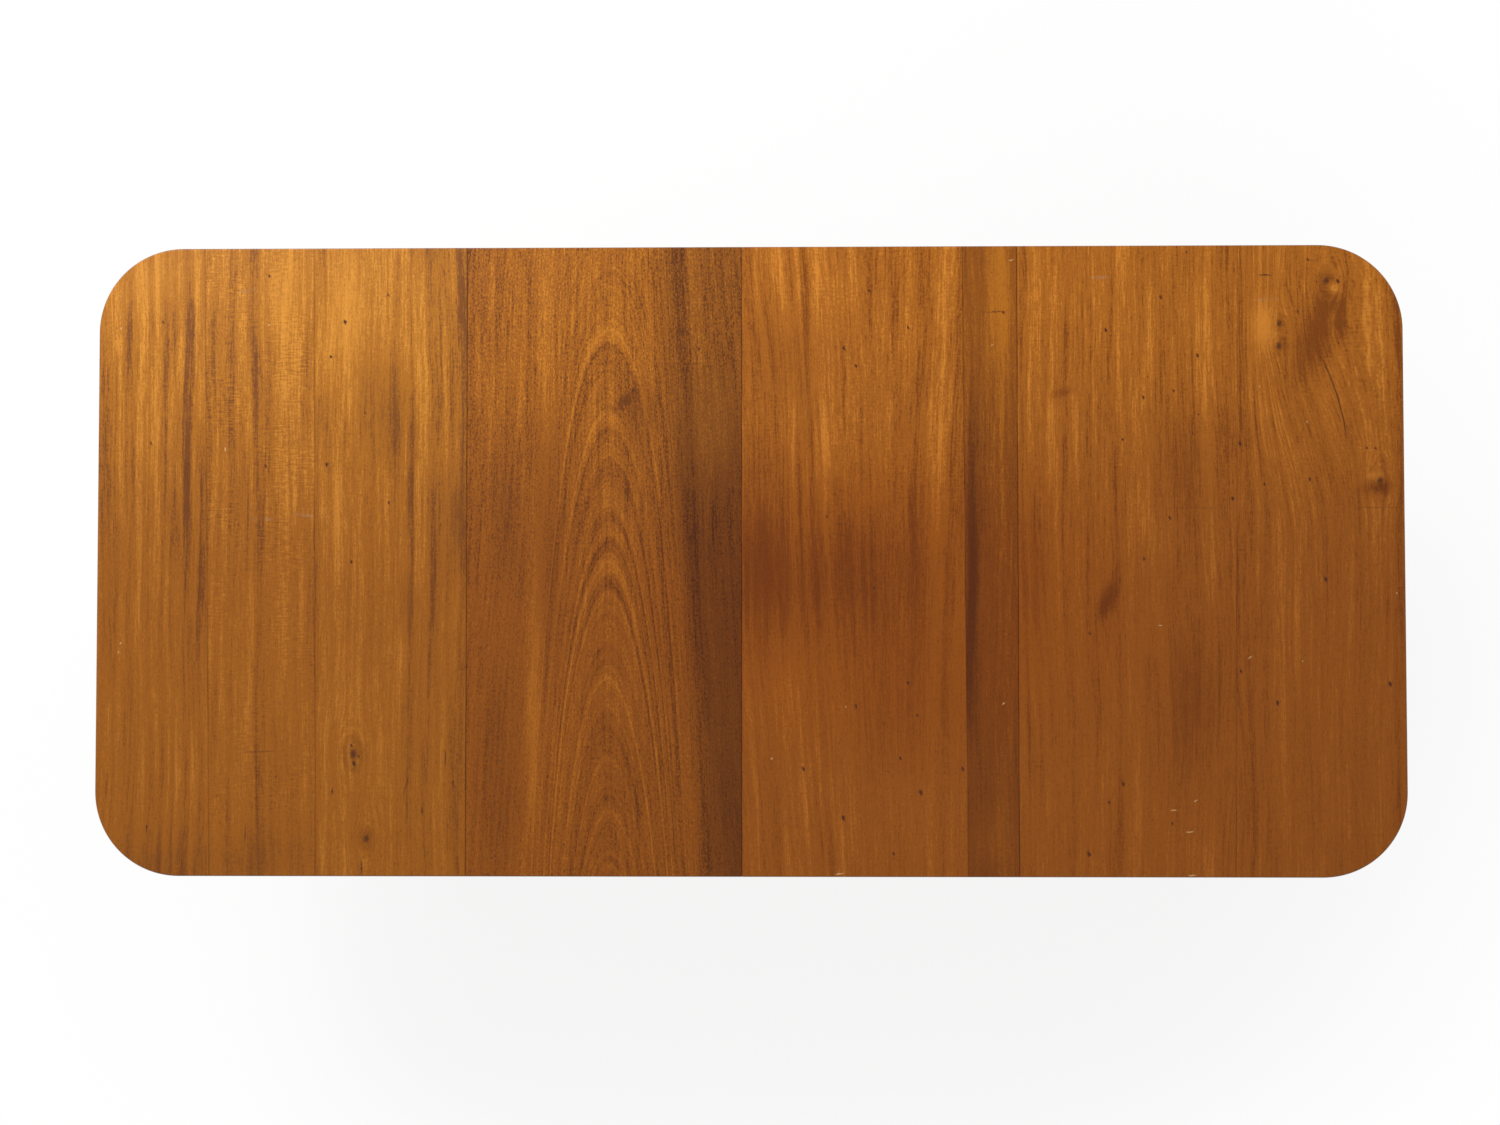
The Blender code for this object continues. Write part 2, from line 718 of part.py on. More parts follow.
def cap_shape():
    half = CAP_WIDTH / 2
    top = CAP_BOTTOM + CAP_HEIGHT
    piece = cap_body("cap", CAP_START, half, CAP_BOTTOM, top, CAP_NOSE_ROUND, LEG_REACH)
    piece = eased(piece, CAP_EDGE)
    rim = box(
        "rim",
        (CAP_START, -half - CAP_RIM_PROUD, CAP_BOTTOM - CAP_RIM_PROUD / 2),
        (CAP_START + CAP_RIM_LENGTH, half + CAP_RIM_PROUD, top + CAP_RIM_PROUD),
    )
    piece = joined(piece, eased(rim, CAP_RIM_PROUD))
    cavity = cap_body("cavity", CAP_START - OVERRUN, half - CAP_WALL, CAVITY_BOTTOM, CAVITY_TOP,
                      CAP_NOSE_ROUND - CAP_WALL, LEG_REACH - CAP_WALL)
    bore_radius = STEM_RADIUS + RUN_GAP
    bore_top = CAVITY_BOTTOM + OVERRUN
    bore_bottom = CAP_BOTTOM - OVERRUN
    bore = turned("bore", [(0, bore_top), (bore_radius, bore_top),
                           (bore_radius, bore_bottom), (0, bore_bottom)], PIN_SIDES)
    return shape_of(cut(piece, cavity, moved(bore, x=STEM_PLACE)))


# Caster, standing on the floor with its stem on the Z axis and its wheel trailing to +X
def horn_crown():
    half = HORN_WIDTH / 2 + CROWN_PROUD
    corners = [
        (-CROWN_FRONT, -half, CROWN_ROUND),
        (TRAIL + CROWN_BACK, -half, CROWN_ROUND),
        (TRAIL + CROWN_BACK, half, CROWN_ROUND),
        (-CROWN_FRONT, half, CROWN_ROUND),
    ]
    crown = flat("horn", rounded(corners), CROWN_THICKNESS)
    return moved(crown, z=CROWN_UNDERSIDE + CROWN_THICKNESS / 2)


def horn_cheek(side):
    top = CROWN_UNDERSIDE + CROWN_THICKNESS / 2
    front = -CROWN_FRONT + CROWN_ROUND
    back = TRAIL + CROWN_BACK - CROWN_ROUND / 2
    eye = [
        (TRAIL + CHEEK_EYE_RADIUS * cos(angle), WHEEL_RADIUS + CHEEK_EYE_RADIUS * sin(angle))
        for angle in (radians(degrees) for degrees in (200, 230, 270, 310, 345))
    ]
    cheek = flat("cheek", [(front, top), *eye, (back, top)], CHEEK_THICKNESS, upright=True)
    return moved(cheek, y=side * (HORN_WIDTH - CHEEK_THICKNESS) / 2)


def axle():
    half = HORN_WIDTH / 2 + AXLE_PROUD
    profile = [(0, half), (AXLE_RADIUS, half), (AXLE_RADIUS, -half), (0, -half)]
    pin = turned("axle", profile, PIN_SIDES)
    turned_about(pin, "X", pi / 2)
    return moved(pin, x=TRAIL, z=WHEEL_RADIUS)


def stem():
    boss_bottom = CROWN_UNDERSIDE + CROWN_THICKNESS / 2
    boss_top = CROWN_UNDERSIDE + CROWN_THICKNESS + SWIVEL_BOSS_HEIGHT
    head_top = STEM_HEAD_BOTTOM + STEM_HEAD_THICKNESS
    profile = [
        (0, head_top),
        (STEM_HEAD_RADIUS, head_top),
        (STEM_HEAD_RADIUS, STEM_HEAD_BOTTOM),
        (STEM_RADIUS, STEM_HEAD_BOTTOM),
        (STEM_RADIUS, boss_top),
        (SWIVEL_BOSS_RADIUS, boss_top),
        (SWIVEL_BOSS_RADIUS, boss_bottom),
        (0, boss_bottom),
    ]
    return turned("stem", profile, PIN_SIDES)


def horn_shape():
    return shape_of(joined(horn_crown(), horn_cheek(-1), horn_cheek(1), axle(), stem()))


def wheel_shape():
    """The wheel round its own axle, which lies along Y through the origin."""
    bore = AXLE_RADIUS + RUN_GAP
    half = WHEEL_WIDTH / 2
    hub = half + WHEEL_HUB_PROUD
    side = [
        (bore, hub),
        (WHEEL_HUB_RADIUS, hub),
        (WHEEL_RADIUS - WHEEL_CROWN, half),
        (WHEEL_RADIUS, half - WHEEL_CROWN),
    ]
    profile = side + [(radius, -height) for radius, height in reversed(side)]
    piece = turned("wheel", profile, WHEEL_SIDES, ring=True)
    return shape_of(turned_about(piece, "X", pi / 2))


# Forks and keepers, in the frame of the joint line with +Y outwards
def fork_shape():
    outer = (PRONG_SPACING + PRONG_WIDTH) / 2
    inner = (PRONG_SPACING - PRONG_WIDTH) / 2
    corners = [
        (-outer, -PRONG_LENGTH, PRONG_TIP_ROUND),
        (-inner, -PRONG_LENGTH, PRONG_TIP_ROUND),
        (-inner, 0, FORK_CROTCH_ROUND),
        (inner, 0, FORK_CROTCH_ROUND),
        (inner, -PRONG_LENGTH, PRONG_TIP_ROUND),
        (outer, -PRONG_LENGTH, PRONG_TIP_ROUND),
        (outer, FORK_BRIDGE, FORK_OUTER_ROUND),
        (-outer, FORK_BRIDGE, FORK_OUTER_ROUND),
    ]
    piece = flat("fork", rounded(corners), FORK_THICKNESS)
    return shape_of(moved(piece, z=-RUN_GAP - FORK_THICKNESS / 2))


def keeper_shape():
    """A bent strap with an ear on each side, round one prong."""
    inside = PRONG_WIDTH / 2 + RUN_GAP
    outside = inside + KEEPER_WALL
    ear = outside + KEEPER_EAR
    channel = FORK_THICKNESS + 2 * RUN_GAP
    corners = [
        (-ear, 0, 0),
        (-ear, -KEEPER_WALL, 0),
        (-outside, -KEEPER_WALL, 0),
        (-outside, -channel - KEEPER_WALL, KEEPER_BEND),
        (outside, -channel - KEEPER_WALL, KEEPER_BEND),
        (outside, -KEEPER_WALL, 0),
        (ear, -KEEPER_WALL, 0),
        (ear, 0, 0),
        (inside, 0, 0),
        (inside, -channel, 0),
        (-inside, -channel, 0),
        (-inside, 0, 0),
    ]
    piece = flat("keeper", rounded(corners, 2), KEEPER_LENGTH, upright=True)
    return shape_of(moved(piece, z=-SEAT_GAP))


# Hook catches
def catch_stud_shape():
    """Plate, shank and head in one, hanging from the underside of a leaf at Z zero."""
    plate_bottom = -SEAT_GAP - CATCH_PLATE_THICKNESS
    head_top = plate_bottom - HOOK_THICKNESS - 2 * RUN_GAP
    head_bottom = head_top - CATCH_HEAD_THICKNESS
    profile = [
        (0, -SEAT_GAP),
        (CATCH_PLATE_RADIUS, -SEAT_GAP),
        (CATCH_PLATE_RADIUS, plate_bottom),
        (CATCH_SHANK_RADIUS, plate_bottom),
        (CATCH_SHANK_RADIUS, head_top),
        (CATCH_HEAD_RADIUS, head_top),
        (CATCH_SHANK_RADIUS, head_bottom),
        (0, head_bottom),
    ]
    return shape_of(turned("stud", profile, STUD_SIDES))


def hook_shape():
    """The hook on its pivot, thrown back along +Y, with its notch open to +X."""
    half = HOOK_WIDTH / 2
    room = CATCH_SHANK_RADIUS + RUN_GAP
    tip = CATCH_SPAN + room + HOOK_FINGER
    arm = [(half, -half, half), (half, tip, half), (-half, tip, half), (-half, -half, half)]
    corners = [(x, y, radius - SEAT_GAP) for x, y, radius in arm]
    piece = flat("hook", rounded(corners, 2 * FILLET_STEPS), HOOK_THICKNESS)
    bore = [(0, HOOK_THICKNESS), (room, HOOK_THICKNESS), (room, -HOOK_THICKNESS), (0, -HOOK_THICKNESS)]
    notch = moved(turned("notch", bore, PIN_SIDES), y=CATCH_SPAN)
    mouth = box(
        "mouth",
        (0, CATCH_SPAN - room, -HOOK_THICKNESS),
        (half + OVERRUN, CATCH_SPAN + room, HOOK_THICKNESS),
    )
    piece = cut(piece, turned("pivot", bore, PIN_SIDES), notch, mouth)
    middle = -SEAT_GAP - CATCH_PLATE_THICKNESS - RUN_GAP - HOOK_THICKNESS / 2
    return shape_of(moved(piece, z=middle))


# Assembly
def build_tops(halves, wood):
    sections = (
        ("left_end_top", TOP_LEFT, LEFT_JOINT, CORNER_RADIUS, 0, "left"),
        ("left_leaf", LEFT_JOINT, MIDDLE_JOINT, 0, 0, "left"),
        ("right_leaf", MIDDLE_JOINT, RIGHT_JOINT, 0, 0, "right"),
        ("right_end_top", RIGHT_JOINT, TOP_RIGHT, 0, CORNER_RADIUS, "right"),
    )
    for name, x_low, x_high, round_low, round_high, half in sections:
        top_section(name, x_low, x_high, round_low, round_high, wood, halves[half])


def inward(half):
    """1 where the middle of the table lies towards +X, -1 where it lies towards -X."""
    return 1 if half == "left" else -1


def outward(side):
    """1 where the table's edge lies towards +Y, -1 where it lies towards -Y."""
    return 1 if side == "back" else -1


def build_underframe(pedestals, wood):
    block = block_shape()
    column = column_shape()
    back_bearer = bearer_shape()
    back_loper = loper_shape()
    bearers = {1: back_bearer, -1: mirrored(back_bearer)}
    lopers = {1: back_loper, -1: mirrored(back_loper)}
    for half in HALVES:
        holder = pedestals[half]
        place(half + "_block", block, wood, holder)
        place(half + "_column", column, wood, holder)
        for side in SIDES:
            local_side = outward(side) * inward(half)
            place(f"{half}_bearer_{side}", bearers[local_side], wood, holder)
            place(f"{half}_loper_{side}", lopers[local_side], wood, holder)


def build_legs(pedestals, wood, brass, iron):
    leg = leg_shape()
    cap = cap_shape()
    horn = horn_shape()
    wheel = wheel_shape()
    spider = spider_shape()
    for half in HALVES:
        holder = pedestals[half]
        place(half + "_spider", spider, iron, holder)
        for name, angle in zip(LEGS, leg_angles()):
            leg_frame = empty(f"{half}_leg_frame_{name}", holder, turn=inward(half) * angle)
            place(f"{half}_leg_{name}", leg, wood, leg_frame)
            place(f"{half}_cap_{name}", cap, brass, leg_frame)
            swivel = place(f"{half}_horn_{name}", horn, brass, leg_frame, (STEM_PLACE, 0, 0), pi)
            place(f"{half}_wheel_{name}", wheel, brass, swivel, (TRAIL, 0, WHEEL_RADIUS))


def build_forks(halves, brass):
    fork = fork_shape()
    keeper = keeper_shape()
    joints = {"left": LEFT_JOINT, "right": RIGHT_JOINT}
    bridge_place = FORK_PLACE + KEEPER_LENGTH / 2 + FORK_CROTCH_ROUND + RUN_GAP
    for half in HALVES:
        keeper_places = {
            "end": joints[half] - inward(half) * PRONG_SPACING / 2,
            "leaf": joints[half] + inward(half) * PRONG_SPACING / 2,
        }
        for side in SIDES:
            turn = 0.0 if side == "back" else pi
            bridge = (joints[half], outward(side) * bridge_place, TOP_UNDERSIDE)
            place(f"{half}_fork_{side}", fork, brass, halves[half], bridge, turn)
            for owner, x in keeper_places.items():
                strap = (x, outward(side) * FORK_PLACE, TOP_UNDERSIDE)
                place(f"{half}_{owner}_keeper_{side}", keeper, brass, halves[half], strap)


def build_catches(halves, brass):
    stud = catch_stud_shape()
    back_hook = hook_shape()
    hooks = {"back": back_hook, "front": mirrored(back_hook)}
    pivot_x = MIDDLE_JOINT - CATCH_PIVOT_SETBACK
    stud_x = MIDDLE_JOINT + CATCH_STUD_SETBACK
    for side in SIDES:
        y = outward(side) * CATCH_PLACE
        pivot = (pivot_x, y, TOP_UNDERSIDE)
        place("catch_pivot_" + side, stud, brass, halves["left"], pivot)
        place("catch_hook_" + side, hooks[side], brass, halves["left"], pivot)
        place("catch_stud_" + side, stud, brass, halves["right"], (stud_x, y, TOP_UNDERSIDE))


def main():
    wood = new_material("mahogany", MAHOGANY_COLOR, MAHOGANY_ROUGHNESS, metallic=0.0)
    brass = new_material("brass", BRASS_COLOR, BRASS_ROUGHNESS, metallic=1.0)
    iron = new_material("iron", IRON_COLOR, IRON_ROUGHNESS, metallic=1.0)
    pedestal_places = {"left": LEFT_PEDESTAL, "right": RIGHT_PEDESTAL}
    halves = {}
    pedestals = {}
    for half in HALVES:
        halves[half] = empty(half + "_half")
        turn = 0.0 if half == "left" else pi
        foot = (pedestal_places[half], 0, 0)
        pedestals[half] = empty(half + "_pedestal", halves[half], foot, turn)
    build_tops(halves, wood)
    build_underframe(pedestals, wood)
    build_legs(pedestals, wood, brass, iron)
    build_forks(halves, brass)
    build_catches(halves, brass)
    bpy.context.view_layer.update()


main()
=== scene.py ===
"""Double pedestal dining table in figured mahogany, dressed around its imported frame.

Metres, +Z up. +X runs along the table and +Y across it, away from the front edge.
The top is eight boards in four sections, with the grain across the table. Each
operator below makes one group of pieces, and the last one makes the stage.
"""

from contextlib import contextmanager
from dataclasses import dataclass
from math import cos, pi, radians, sin

import bmesh
import bpy
from bpy.props import FloatProperty, FloatVectorProperty, PointerProperty
from bpy.types import Operator, Panel, PropertyGroup
from mathutils import Matrix, Vector
from mathutils.geometry import interpolate_bezier


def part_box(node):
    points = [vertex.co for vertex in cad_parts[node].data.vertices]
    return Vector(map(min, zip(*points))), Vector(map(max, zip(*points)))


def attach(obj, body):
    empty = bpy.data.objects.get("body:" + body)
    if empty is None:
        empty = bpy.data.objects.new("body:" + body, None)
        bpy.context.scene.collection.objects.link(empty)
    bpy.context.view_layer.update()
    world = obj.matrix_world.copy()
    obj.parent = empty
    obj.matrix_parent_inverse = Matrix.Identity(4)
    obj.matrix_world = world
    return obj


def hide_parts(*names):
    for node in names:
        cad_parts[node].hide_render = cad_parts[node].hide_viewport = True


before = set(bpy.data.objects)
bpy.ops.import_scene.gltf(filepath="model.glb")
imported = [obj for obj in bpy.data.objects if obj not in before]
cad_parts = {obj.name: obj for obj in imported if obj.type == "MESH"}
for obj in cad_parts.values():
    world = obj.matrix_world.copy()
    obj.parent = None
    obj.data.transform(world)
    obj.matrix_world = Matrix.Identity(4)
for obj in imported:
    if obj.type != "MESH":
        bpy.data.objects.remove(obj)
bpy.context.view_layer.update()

bl_info = {
    "name": "Double Pedestal Dining Table",
    "version": (1, 0, 0),
    "blender": (4, 5, 0),
    "location": "3D View > Sidebar > Table",
    "description": "Models and finishes a double pedestal dining table with two leaves",
    "category": "Object",
}

# Places that follow from the frame
SEAM_GAP = 0.0003
JOINTS = {
    "left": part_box("left_leaf")[0].x - SEAM_GAP / 2,
    "middle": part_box("right_leaf")[0].x - SEAM_GAP / 2,
    "right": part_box("right_end_top")[0].x - SEAM_GAP / 2,
}
TOP_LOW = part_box("left_end_top")[0]
TOP_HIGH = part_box("right_end_top")[1]
HALVES = ("left", "right")
SIDES = ("front", "back")
LEGS = ("inner", "back", "front")


# Sizes and colours that a user would change
def length(name, text, default, **limits):
    return FloatProperty(name=name, description=text, default=default, unit="LENGTH", **limits)


def tint(name, text, default):
    return FloatVectorProperty(name=name, description=text, default=default, subtype="COLOR", min=0, max=1)


class TopSizes(PropertyGroup):
    corner_radius: length(
        "Corner Radius", "Radius of the four round corners of the top", 0.150, min=0.02, max=0.4)
    upper_round: length("Upper Edge", "Rounding of the upper arris of the top", 0.003, min=0.0005, max=0.01)
    lower_ease: length("Lower Edge", "Easing of the lower arris of the top", 0.0015, min=0.0003, max=0.01)
    joint_arris: length(
        "Joint Arris", "Easing of the edges that lie against a joint", 0.0005, min=0.0001, max=0.002)
    dowel_radius: length(
        "Dowel Radius", "Radius of the dowels that line the sections up", 0.005, min=0.002, max=0.01)
    dowel_reach: length(
        "Dowel Reach", "How far a dowel stands out of its section", 0.018, min=0.005, max=0.04)
    dowel_setback: length(
        "Dowel Setback", "From the long edge of the top to its nearest dowel", 0.159, min=0.05, max=0.4)


class PedestalSizes(PropertyGroup):
    drum_radius: length("Drum Radius", "Radius of the drum that takes the legs", 0.060)
    drum_height: length("Drum Height", "Height of the drum", 0.136)
    drum_edge: length("Drum Edge", "Rounding of the drum's upper edge", 0.006)
    tenon_radius: length("Tenon Radius", "Radius of the tenon in the block", 0.030)
    capital_lip: length("Capital Lip", "Height of the flat rim under the block", 0.009)
    capital_sweep: length("Capital Sweep", "Height of the hollow under the rim", 0.026)
    neck_radius: length("Neck Radius", "Radius of the column's neck", 0.035)
    belly_radius: length("Belly Radius", "Radius of the vase at its widest", 0.055)
    waist_radius: length("Waist Radius", "Radius under the vase", 0.038)
    upper_bead: length("Upper Bead", "From the shoulder down to the upper bead", 0.060)
    bead_radius: length("Bead Radius", "Radius of the turned beads", 0.007)
    leg_reach: length("Leg Reach", "From the column's axis to the nose of a toe cap", 0.430)
    leg_thickness: length("Leg Thickness", "Thickness of a leg at its root", 0.040)
    leg_root: length("Leg Root", "Depth of a leg where it meets the drum", 0.108)
    leg_seat: length("Leg Seat", "Where the leg's underside starts to fall", 0.105)
    leg_edge: length("Leg Edge", "Rounding of the leg's edges", 0.004)
    cap_length: length("Cap Length", "Length of a brass toe cap", 0.046)
    cap_width: length("Cap Width", "Width of a toe cap", 0.034)
    cap_height: length("Cap Height", "Height of a toe cap", 0.036)
    cap_wall: length("Cap Wall", "Wall of a toe cap", 0.0025)
    wheel_radius: length("Wheel Radius", "Radius of a caster's wheel", 0.016)
    wheel_width: length("Wheel Width", "Width of a caster's tread", 0.014)
    trail: length("Trail", "From a caster's stem to its axle", 0.012)
    stem_setback: length("Stem Setback", "From the nose of the cap to the stem", 0.022)


class FinishColors(PropertyGroup):
    end_light: tint("End Light", "Gold of the left end section", (0.605, 0.246, 0.029))
    end_middle: tint("End Middle", "Middle tone of the left end section", (0.395, 0.140, 0.012))
    end_dark: tint("End Dark", "Purple brown of the left end section", (0.195, 0.062, 0.010))
    leaf_light: tint("Leaf Light", "Gold of the left leaf", (0.510, 0.182, 0.016))
    leaf_middle: tint("Leaf Middle", "Middle tone of the left leaf", (0.335, 0.105, 0.009))
    leaf_dark: tint("Leaf Dark", "Brown of the left leaf", (0.150, 0.042, 0.005))
    red_light: tint("Red Light", "Gold of the right boards", (0.575, 0.206, 0.024))
    red_middle: tint("Red Middle", "Middle tone of the right boards", (0.365, 0.114, 0.010))
    red_dark: tint("Red Dark", "Red brown of the right boards", (0.195, 0.050, 0.004))
    strip_light: tint("Strip Light", "Gold of the narrow board", (0.400, 0.132, 0.010))
    strip_middle: tint("Strip Middle", "Middle tone of the narrow board", (0.250, 0.072, 0.006))
    strip_dark: tint("Strip Dark", "Brown of the narrow board", (0.130, 0.034, 0.004))
    heartwood: tint("Heartwood", "Tint of the dark band", (0.56, 0.53, 0.62))
    # Painted shade: this tint darkens the front part of the top, as if it had less light than the back.
    painted_front_shade: tint("Painted Front Shade", "Tint of the front part of the top", (0.69, 0.61, 0.62))
    blush: tint("Blush", "Tint of the reddened middle of the top", (1.00, 0.93, 0.72))
    # The pore tint also serves as painted shade on the arris and along the ends of the top.
    pore: tint("Pore", "Tint in the pores", (0.42, 0.36, 0.34))
    joint: tint("Joint", "Tint along the joints", (0.40, 0.34, 0.32))
    knot: tint("Knot", "Wood at the heart of a knot", (0.070, 0.020, 0.007))
    chip: tint("Chip", "Bare wood in a chip", (0.700, 0.450, 0.220))
    scuff: tint("Scuff", "Dull grey of a scuff", (0.340, 0.240, 0.160))
    underside: tint("Underside", "Bare wood below the top", (0.190, 0.100, 0.050))
    frame_light: tint("Frame Light", "Rubbed mahogany of the pedestals", (0.280, 0.110, 0.026))
    frame_middle: tint("Frame Middle", "Mahogany of the pedestals", (0.165, 0.054, 0.013))
    frame_dark: tint("Frame Dark", "Dark streaks of the pedestals", (0.080, 0.024, 0.008))
    brass: tint("Brass", "Rubbed brass", (0.560, 0.370, 0.150))
    tarnish: tint("Tarnish", "Brown on the brass", (0.240, 0.145, 0.055))
    iron: tint("Iron", "Blackened iron", (0.045, 0.042, 0.040))
    rust: tint("Rust", "Rust on the iron", (0.150, 0.055, 0.022))
    beech: tint("Beech", "Dowels", (0.520, 0.330, 0.160))


class StageSettings(PropertyGroup):
    camera_place: FloatVectorProperty(
        name="Camera", description="Place of the camera, above the top",
        default=(0.0505, -0.0979, 3.937), subtype="TRANSLATION", unit="LENGTH")
    camera_tilt: FloatVectorProperty(
        name="Camera Tilt", description="Turn of the camera from straight down",
        default=(radians(1.681), radians(0.838), radians(-0.032)), subtype="EULER")
    lens: FloatProperty(
        name="Lens", description="Focal length of the camera, in millimetres",
        default=43.355, min=10, max=200)
    lamp_place: FloatVectorProperty(
        name="Lamp", description="Place of the soft lamp",
        default=(-2.4, 3.0, 4.2), subtype="TRANSLATION", unit="LENGTH")
    lamp_size: length("Lamp Size", "Side of the square soft lamp", 2.2, min=0.1, max=5)
    lamp_power: FloatProperty(
        name="Lamp Power", description="Power of the soft lamp, in watts", default=235.0, min=0, max=2000)
    ambient: FloatProperty(
        name="Ambient", description="Strength of the even light from all round",
        default=0.55, min=0, max=2)


# Modelling, as by hand in edit mode
NOSE_STEPS = 10
DISC_SIDES = 64
SMALL_SIDES = 32
MERGE_REACH = 0.00001


def chosen(*pieces):
    """Select just these pieces, with the first one active."""
    bpy.ops.object.select_all(action="DESELECT")
    for piece in pieces:
        piece.select_set(True)
    bpy.context.view_layer.objects.active = pieces[0]


@contextmanager
def editing(piece, kind="EDGE"):
    """Edit mode on one piece, with nothing selected."""
    chosen(piece)
    bpy.ops.object.mode_set(mode="EDIT")
    bpy.ops.mesh.select_mode(type=kind)
    bpy.ops.mesh.select_all(action="DESELECT")
    yield
    bpy.ops.object.mode_set(mode="OBJECT")


def pick(piece, kind, wanted):
    """Select what is wanted of the verts, edges or faces of the piece in edit mode."""
    mesh = bmesh.from_edit_mesh(piece.data)
    for element in getattr(mesh, kind):
        if wanted(element):
            element.select_set(True)
    bmesh.update_edit_mesh(piece.data)


def all_at(axis, level, near=0.0001):
    """A test for an edge or a face that lies at one level along an axis."""
    return lambda element: all(abs(vert.co[axis] - level) < near for vert in element.verts)


def upright(edge):
    """Whether an edge stands straight up."""
    start = edge.verts[0].co
    return all_at(0, start.x)(edge) and all_at(1, start.y)(edge)


def named(piece, name):
    piece.name = name
    piece.data.name = name
    return piece


def as_added(name):
    """The primitive that was just added, with its place and size in its mesh."""
    bpy.ops.object.transform_apply(location=True, rotation=True, scale=True)
    return named(bpy.context.object, name)


def block(name, low, high):
    """A box between two corners, as the start of a piece."""
    size = Vector(high) - Vector(low)
    bpy.ops.object.select_all(action="DESELECT")
    bpy.ops.mesh.primitive_cube_add(size=1, location=Vector(low) + size / 2, scale=size)
    return as_added(name)


def turned(name, profile, sides=DISC_SIDES):
    """A disc drawn up step by step through a profile of (radius, height), from the bottom up."""
    radius, height = profile[0]
    bpy.ops.object.select_all(action="DESELECT")
    bpy.ops.mesh.primitive_circle_add(
        vertices=sides, radius=radius, fill_type="NGON", location=(0, 0, height))
    piece = as_added(name)
    with editing(piece, "FACE"):
        bpy.ops.mesh.select_all(action="SELECT")
        for next_radius, next_height in profile[1:]:
            rise = (0, 0, next_height - height)
            bpy.ops.mesh.extrude_region_move(TRANSFORM_OT_translate={"value": rise})
            share = next_radius / radius
            bpy.ops.transform.resize(value=(share, share, 1), center_override=(0, 0, next_height))
            radius, height = next_radius, next_height
        bpy.ops.mesh.select_all(action="SELECT")
        bpy.ops.mesh.normals_make_consistent(inside=False)
    return piece


def drawn_out(name, stations):
    """A bar drawn out along +X through stations of (place, half width, bottom, top)."""
    (start, half, bottom, top), (end, *_) = stations[:2]
    piece = block(name, (start, -half, bottom), (end, half, top))
    with editing(piece, "FACE"):
        pick(piece, "faces", all_at(0, end))
        for place, next_half, next_bottom, next_top in stations[1:]:
            if place > end:
                bpy.ops.mesh.extrude_region_move(TRANSFORM_OT_translate={"value": (place - end, 0, 0)})
            middle = (place, 0, (bottom + top) / 2)
            shares = (1, next_half / half, (next_top - next_bottom) / (top - bottom))
            bpy.ops.transform.resize(value=shares, center_override=middle)
            bpy.ops.transform.translate(value=(0, 0, (next_bottom + next_top) / 2 - middle[2]))
            end, half, bottom, top = place, next_half, next_bottom, next_top
    return piece


def rounded_nose(name, low, high, radius):
    """A box whose two upright edges at the +X end are round."""
    piece = block(name, low, high)
    with editing(piece):
        pick(piece, "edges", lambda edge: upright(edge) and all_at(0, high[0])(edge))
        bpy.ops.mesh.bevel(offset=radius, segments=NOSE_STEPS)
    return piece


def modified(piece, kind, **settings):
    """The piece with one modifier, applied."""
    chosen(piece)
    modifier = piece.modifiers.new(kind.title(), kind)
    for key, value in settings.items():
        setattr(modifier, key, value)
    bpy.ops.object.modifier_apply(modifier=modifier.name)
    return piece


def eased(piece, width, segments=2, angle=35):
    return modified(piece, "BEVEL", width=width, segments=segments,
                    limit_method="ANGLE", angle_limit=radians(angle))


def discard(*pieces):
    for piece in pieces:
        bpy.data.objects.remove(piece, do_unlink=True)


def combined(piece, tool, operation):
    modified(piece, "BOOLEAN", operation=operation, solver="EXACT", object=tool)
    discard(tool)
    return piece


def cut(piece, tool):
    return combined(piece, tool, "DIFFERENCE")


def joined(piece, tool):
    return combined(piece, tool, "UNION")


def shaded(piece, angle=32):
    """Smooth over the rounded edges, with the flat faces kept flat."""
    chosen(piece)
    bpy.ops.object.shade_smooth_by_angle(angle=radians(angle))
    return modified(piece, "WEIGHTED_NORMAL", keep_sharp=True)


def copied(piece, name, matrix):
    """A copy with its own mesh, put in its place."""
    copy = piece.copy()
    copy.data = piece.data.copy()
    copy.data.transform(matrix)
    bpy.context.scene.collection.objects.link(copy)
    return named(copy, name)


def joined_up(pieces, name):
    """Several pieces as one, each still a body of its own."""
    chosen(*pieces)
    bpy.ops.object.join()
    return named(pieces[0], name)


def from_node(node, name):
    """The CAD node's mesh as a new piece, merged and with its flat faces whole."""
    piece = copied(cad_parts[node], name, Matrix.Identity(4))
    for key in list(piece.keys()):
        del piece[key]
    piece.parent = None
    with editing(piece):
        bpy.ops.mesh.select_all(action="SELECT")
        bpy.ops.mesh.customdata_custom_splitnormals_clear()
        bpy.ops.mesh.remove_doubles(threshold=MERGE_REACH)
        bpy.ops.mesh.dissolve_limited(angle_limit=radians(0.5))
    return piece


def stands_for(piece, body, slot, *nodes):
    """The piece rides on its body and is shown in place of its CAD nodes."""
    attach(piece, body)
    if nodes:
        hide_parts(*nodes)
    return piece


def dressed(piece, material):
    piece.data.materials.clear()
    piece.data.materials.append(material)
    return piece


# Shader maths as expressions
class Wire:
    """A socket of a finish, which takes part in sums as a number does."""

    def __init__(self, finish, socket):
        self.finish = finish
        self.socket = socket

    def __add__(self, other):
        return self.finish.math("ADD", self, other)

    def __sub__(self, other):
        return self.finish.math("SUBTRACT", self, other)

    def __rsub__(self, other):
        return self.finish.math("SUBTRACT", other, self)

    def __mul__(self, other):
        return self.finish.math("MULTIPLY", self, other)

    def __truediv__(self, other):
        return self.finish.math("DIVIDE", self, other)

    def __rtruediv__(self, other):
        return self.finish.math("DIVIDE", other, self)

    __radd__ = __add__
    __rmul__ = __mul__


